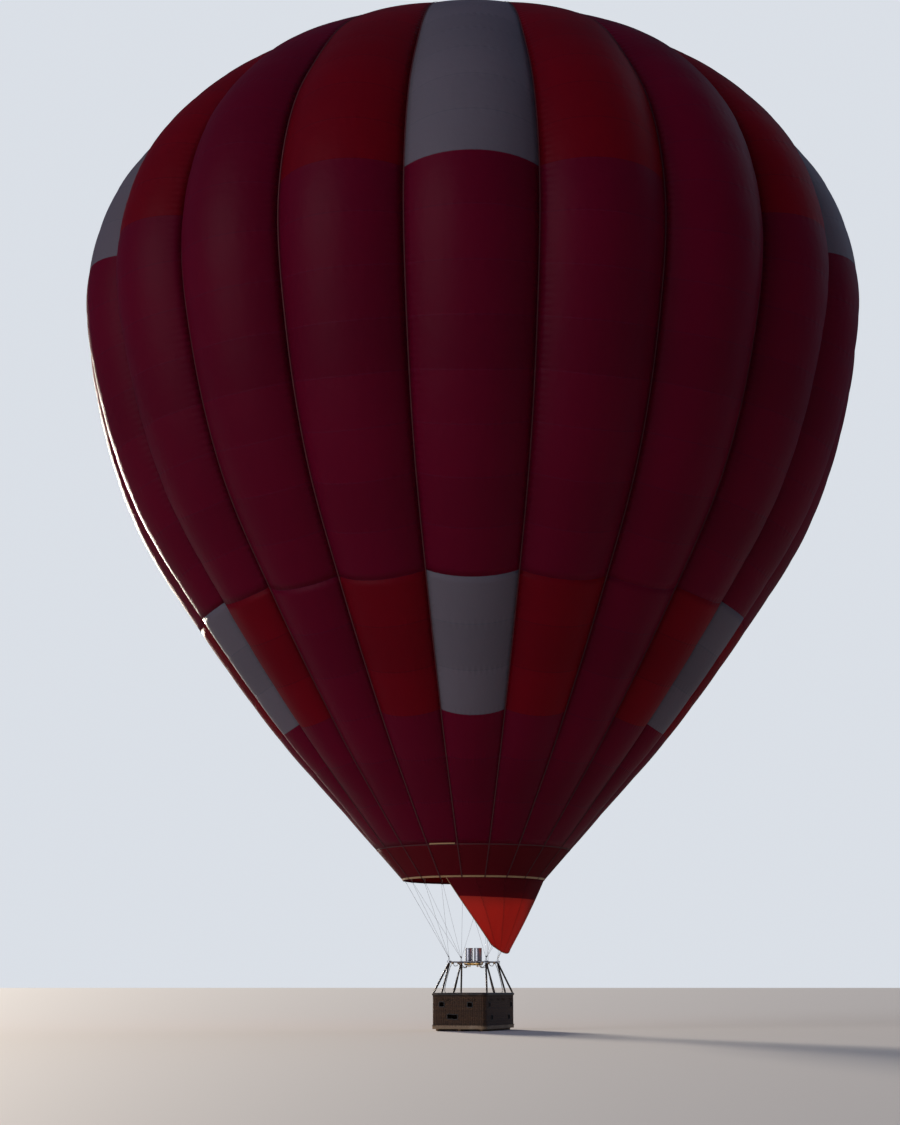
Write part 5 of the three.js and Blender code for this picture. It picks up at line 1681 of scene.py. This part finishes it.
def bound_opening(mesh_data, centre, across, outward):
    # A leather edging: a rounded rectangle swept with a soft rectangular section
    rings = []
    aside, rise = across * (HOLE_HALF_WIDTH - HOLE_CORNER), HOLE_HALF_HEIGHT - HOLE_CORNER
    for index, (sx, sz) in enumerate(((1, 1), (-1, 1), (-1, -1), (1, -1))):
        foot = centre + aside * sx + Vector((0, 0, sz * rise))
        for step in range(5):
            turn = math.radians(90 * index + 22.5 * step)
            direction = across * math.cos(turn) + Vector((0, 0, math.sin(turn)))
            rings.append([
                foot + direction * (HOLE_CORNER + u * EDGING_WIDTH) + outward * (v * EDGING_DEPTH)
                for u, v in EDGING_SECTION
            ])
    place_grid(mesh_data, rings, closed_path=True)


edging = bmesh.new()
for side in (-1, 1):
    for along_wall, height in END_STEPS:
        bound_opening(edging, ground(along_wall, side * middle_y, height), ALONG_X, ALONG_Y)
    for along_wall, height in SIDE_STEPS:
        bound_opening(edging, ground(side * middle_x, along_wall, height), ALONG_Y, ALONG_X)
finished(edging, "step_hole_leather", "rim_leather")


def dense(points, spacing=0.05):
    # The closed line with extra points along its straights
    result = []
    for index, point in enumerate(points):
        after = points[(index + 1) % len(points)]
        pieces = max(1, round((after - point).length / spacing))
        result += [point.lerp(after, step / pieces) for step in range(pieces)]
    return result


def facing_out(point):
    # The level direction that faces out of the rounded outline
    beyond_x = max(abs(point.x) - (HALF_X - CORNER), 0)
    beyond_y = max(abs(point.y) - (HALF_Y - CORNER), 0)
    return Vector((math.copysign(beyond_x, point.x), math.copysign(beyond_y, point.y), 0)).normalized()


rawhide_mesh = bmesh.new()
rings, runs, length, last = [], [], 0.0, None
for point in dense(rounded_outline(HALF_X, HALF_Y, CORNER, 0.0, 8)):
    length += (point - last).length if last else 0.0
    last = point
    flat = facing_out(point)
    wave = 0.0012 * math.sin(length * 31)
    section = [
        (-0.006, 0.0605), (0.003 + wave, 0.0605), (0.0045 + wave, 0.09), (0.0045 - wave, 0.15),
        (0.002, 0.168), (-0.004, 0.168), (-0.004, 0.09)
    ]
    rings.append([point + flat * out + UP * height for out, height in section])
    runs.append([(0, height, length) for _, height in section])
place_grid(rawhide_mesh, rings, closed_path=True, runs=runs)
finished(rawhide_mesh, "rawhide_strip", "rawhide")
lace = bmesh.new()
for point in dense(rounded_outline(HALF_X + 0.005, HALF_Y + 0.005, CORNER, 0.155, 8), 0.09):
    flat = facing_out(point)
    stitch = [(-0.004, -0.02), (0.002, -0.012), (0.002, 0.012), (-0.006, 0.022)]
    tube(lace, [point + flat * out + UP * rise for out, rise in stitch], 0.003, 5)
finished(lace, "rawhide_lacing", "rim_leather")

# %% [markdown]
# ## Padded rim
# Foam under leather goes all round the top of the wall and over every bulkhead and divider. Lacing pulls
# the roll in at even distances, so its section grows and shrinks along the way. It is swept from that
# rule, which keeps the lacing where the dents are.

# %% Rim roll, rails and lacing
RIM_LOW, RIM_HIGH = 1.0503, 1.130
RIM_HALF_WIDTH = 0.0425
RIM_SQUARENESS = 0.72  # 1 would be an oval, and less comes nearer to a rectangle
RIM_TURNS = [2 * math.pi * step / 16 for step in range(16)]
LACE_PITCH = 0.125
RIM_STEP = 0.016
RAIL_START = 0.06  # how far along the lacing's pitch a rail begins


def rim_section(pinch):
    # Rounded section about the wall's middle: distance out, height
    middle, tall = (RIM_LOW + RIM_HIGH) / 2, (RIM_HIGH - RIM_LOW) / 2
    section = []
    for turn in RIM_TURNS:
        u, v = math.cos(turn), math.sin(turn)
        out = math.copysign(abs(u) ** RIM_SQUARENESS, u) * RIM_HALF_WIDTH * pinch
        up = math.copysign(abs(v) ** RIM_SQUARENESS, v) * tall * (pinch if v > 0 else 1)
        section.append((out, middle + up))
    return section


def from_lace(length):
    # Distance to the nearest lace, in pitches
    return ((length / LACE_PITCH + 0.5) % 1) - 0.5


def pinch_at(length):
    return 1 - 0.07 * math.exp(-(from_lace(length) / 0.09) ** 2)


def at_lace(length):
    return abs(from_lace(length)) < 0.5 * RIM_STEP / LACE_PITCH


def rim_ring(point, flat, pinch, wider=1):
    return [point + flat * out * wider + UP * height for out, height in rim_section(pinch)]


def rim_run(length):
    return [(math.cos(turn), math.sin(turn), length) for turn in RIM_TURNS]


def lace_round(point, flat, pinch):
    tube(lacing, rim_ring(point, flat, pinch, 1.01), 0.0032, 5, closed=True)


rim_mesh = bmesh.new()
lacing = bmesh.new()
rings, runs, length, last = [], [], 0.0, None
loop = dense(rounded_outline(middle_x, middle_y, turn_radius, 0.0, 8), RIM_STEP)
total = sum((loop[(i + 1) % len(loop)] - loop[i]).length for i in range(len(loop)))
stretch = (round(total / LACE_PITCH) * LACE_PITCH) / total
for point in loop:
    length += (point - last).length * stretch if last else 0.0
    last = point
    flat = facing_out(point)
    rings.append(rim_ring(point, flat, pinch_at(length)))
    runs.append(rim_run(length))
    if at_lace(length):
        lace_round(point, flat, 0.95)
place_grid(rim_mesh, rings, closed_path=True, runs=runs)
for start, end in [
    (ground(-0.82, -0.5, 0), ground(0.82, -0.5, 0)),
    (ground(-0.82, 0.5, 0), ground(0.82, 0.5, 0)),
    (ground(0, -1.445, 0), ground(0, -0.52, 0)),
    (ground(0, 0.52, 0), ground(0, 1.445, 0)),
]:
    count = round((end - start).length / RIM_STEP)
    ahead = (end - start).normalized()
    flat = Vector((ahead.y, -ahead.x, 0))
    rings, runs = [], []
    for step in range(count + 1):
        point = start.lerp(end, step / count)
        length = (end - start).length * step / count
        rings.append(rim_ring(point, flat, pinch_at(length + RAIL_START) * 0.97))
        runs.append(rim_run(length))
        if 3 < step < count - 3 and at_lace(length + RAIL_START):
            lace_round(point, flat, 0.92)
    place_grid(rim_mesh, rings, caps=True, runs=runs)
rim = finished(rim_mesh, "rim_roll", "rim_leather", replaces=["padded_rim"])
finished(lacing, "rim_lacing", "upright_leather")

# %% [markdown]
# ## Floor, runners, handles and fuel cylinders
# The floor is one plywood sheet, whose CAD shape is right, so it only gets its finish. Hardwood runners
# under it take the landings. Rope handles hang on the outside and inside, and four steel cylinders
# stand in the pilot's bay, strapped to the walls.

# %% Floor and runners
for slot in bpy.data.objects["basket_floor"].material_slots:
    slot.material = looks["plywood"]
RUNNER_PROFILE = [
    (-1.45, 0.06), (-1.45, 0.034), (-1.425, 0.012), (-1.39, 0.0), (1.39, 0.0), (1.425, 0.012),
    (1.45, 0.034), (1.45, 0.06)
]
BOLT_HEAD = [(0, -0.0045), (0.011, -0.0045), (0.013, -0.002), (0.013, 0.0015), (0, 0.0015)]
EDGE = 0.003  # how far the runners' edges are taken off
for number, x in enumerate((-0.7, 0.0, 0.7)):
    runner = bmesh.new()
    rings = [[ground(x + dx, y, z) for y, z in RUNNER_PROFILE] for dx in (-0.04, -0.037, 0.037, 0.04)]
    for ring in (rings[0], rings[3]):
        for index, point in enumerate(ring):
            inward = EDGE if point.z < 0.03 - LIFT_CENTRE else -EDGE
            ring[index] = point + Vector((0, -math.copysign(EDGE, point.y), inward))
    place_grid(runner, rings, caps=True)
    for y in (-1.2, -0.6, 0.0, 0.6, 1.2):
        turned(runner, BOLT_HEAD, ground(x, y, 0.0), 12)
    replaced = [f"runner_{number + 1}"]
    finished(runner, f"hardwood_runner_{number + 1}", "timber", replaces=replaced)

# %% Rope handles
handles = bmesh.new()


def handle_pair(along, side, half, place):
    # A handle outside the wall and one inside; place(along, out, height) puts a point on its wall
    for outward, bend in ((side * (half + 0.002), side * 0.028), (side * (half - 0.05), -side * 0.05)):
        root, low = (outward - side * 0.01, 0.96), (outward + bend, 0.925)
        middle = (outward + bend * 1.1, 0.9)
        reaches = ((-0.1, root), (-0.085, low), (0, middle), (0.085, low), (0.1, root))
        corners = [place(along + reach, out, height) for reach, (out, height) in reaches]
        tube(handles, smooth_path(corners, 5), 0.0095, 8)


for side in (-1, 1):
    for x in (-0.42, 0.42):
        handle_pair(x, side, HALF_Y, ground)
    for y in (-1.0, -0.25, 0.25, 1.0):
        handle_pair(y, side, HALF_X, lambda along, out, height: ground(out, along, height))
finished(handles, "rope_handles", "brown_rope")

# %% Fuel cylinders
SHELL = [
    (0, 0.03), (0.10, 0.028), (0.118, 0.03), (0.118, 0.002), (0.124, 0.0), (0.126, 0.002),
    (0.126, 0.045), (0.138, 0.055), (0.147, 0.07), (0.15, 0.09), (0.15, 0.4), (0.1488, 0.403),
    (0.1488, 0.409), (0.15, 0.412), (0.15, 0.725), (0.147, 0.745), (0.138, 0.765), (0.12, 0.785),
    (0.09, 0.803), (0.05, 0.812), (0, 0.815)
]
COLLAR = [
    (0.112, 0.784), (0.118, 0.784), (0.118, 0.868), (0.1205, 0.874), (0.118, 0.879), (0.114, 0.879),
    (0.1115, 0.874), (0.112, 0.868)
]
TAP = [
    (0, 0.808), (0.026, 0.808), (0.026, 0.82), (0.016, 0.826), (0.016, 0.85), (0.011, 0.853),
    (0.011, 0.864), (0.03, 0.867), (0.032, 0.874), (0.03, 0.883), (0, 0.886)
]
GAUGE = [(0, 0.808), (0.022, 0.808), (0.022, 0.818), (0.019, 0.822), (0, 0.822)]
for quarter, side_x, side_y in QUARTERS:
    base = Matrix.Translation(ground(side_x * 0.64, side_y * 0.3, FLOOR_TOP))
    body = bmesh.new()
    turned(body, SHELL, segments=40, matrix=base)
    turned(body, COLLAR, segments=40, matrix=base)
    replaced = [f"fuel_cylinder_{quarter}"]
    finished(body, f"cylinder_{quarter}", "brushed_steel", replaces=replaced)
    fittings = bmesh.new()
    turned(fittings, TAP, segments=20, matrix=base)
    outlet = base @ Vector((0, 0, 0.838))
    bends = [(0, 0, 0), (side_x * 0.02, side_y * 0.012, 0), (side_x * 0.04, side_y * 0.022, 0.004)]
    tube(fittings, [outlet + Vector(bend) for bend in bends], [0.009, 0.009, 0.012], 10)
    turned(fittings, GAUGE, segments=24, matrix=base @ Matrix.Translation((0.06, 0.03 * side_y, 0)))
    finished(fittings, f"tap_{quarter}", "brass")
    straps_mesh = bmesh.new()
    for height in (0.24, 0.56):
        strap = [(0.1502, -0.02), (0.1535, -0.018), (0.1535, 0.018), (0.1502, 0.02)]
        strap = [(radius, height + rise) for radius, rise in strap]
        turned(straps_mesh, strap, segments=40, matrix=base)
        buckle = base @ Matrix.Translation((0, -side_y * 0.155, height))
        block(straps_mesh, (0.05, 0.004, 0.028), (0, 0, 0), 0.0015, matrix=buckle)
    finished(straps_mesh, f"cylinder_straps_{quarter}", "rim_leather")
print("basket finished")
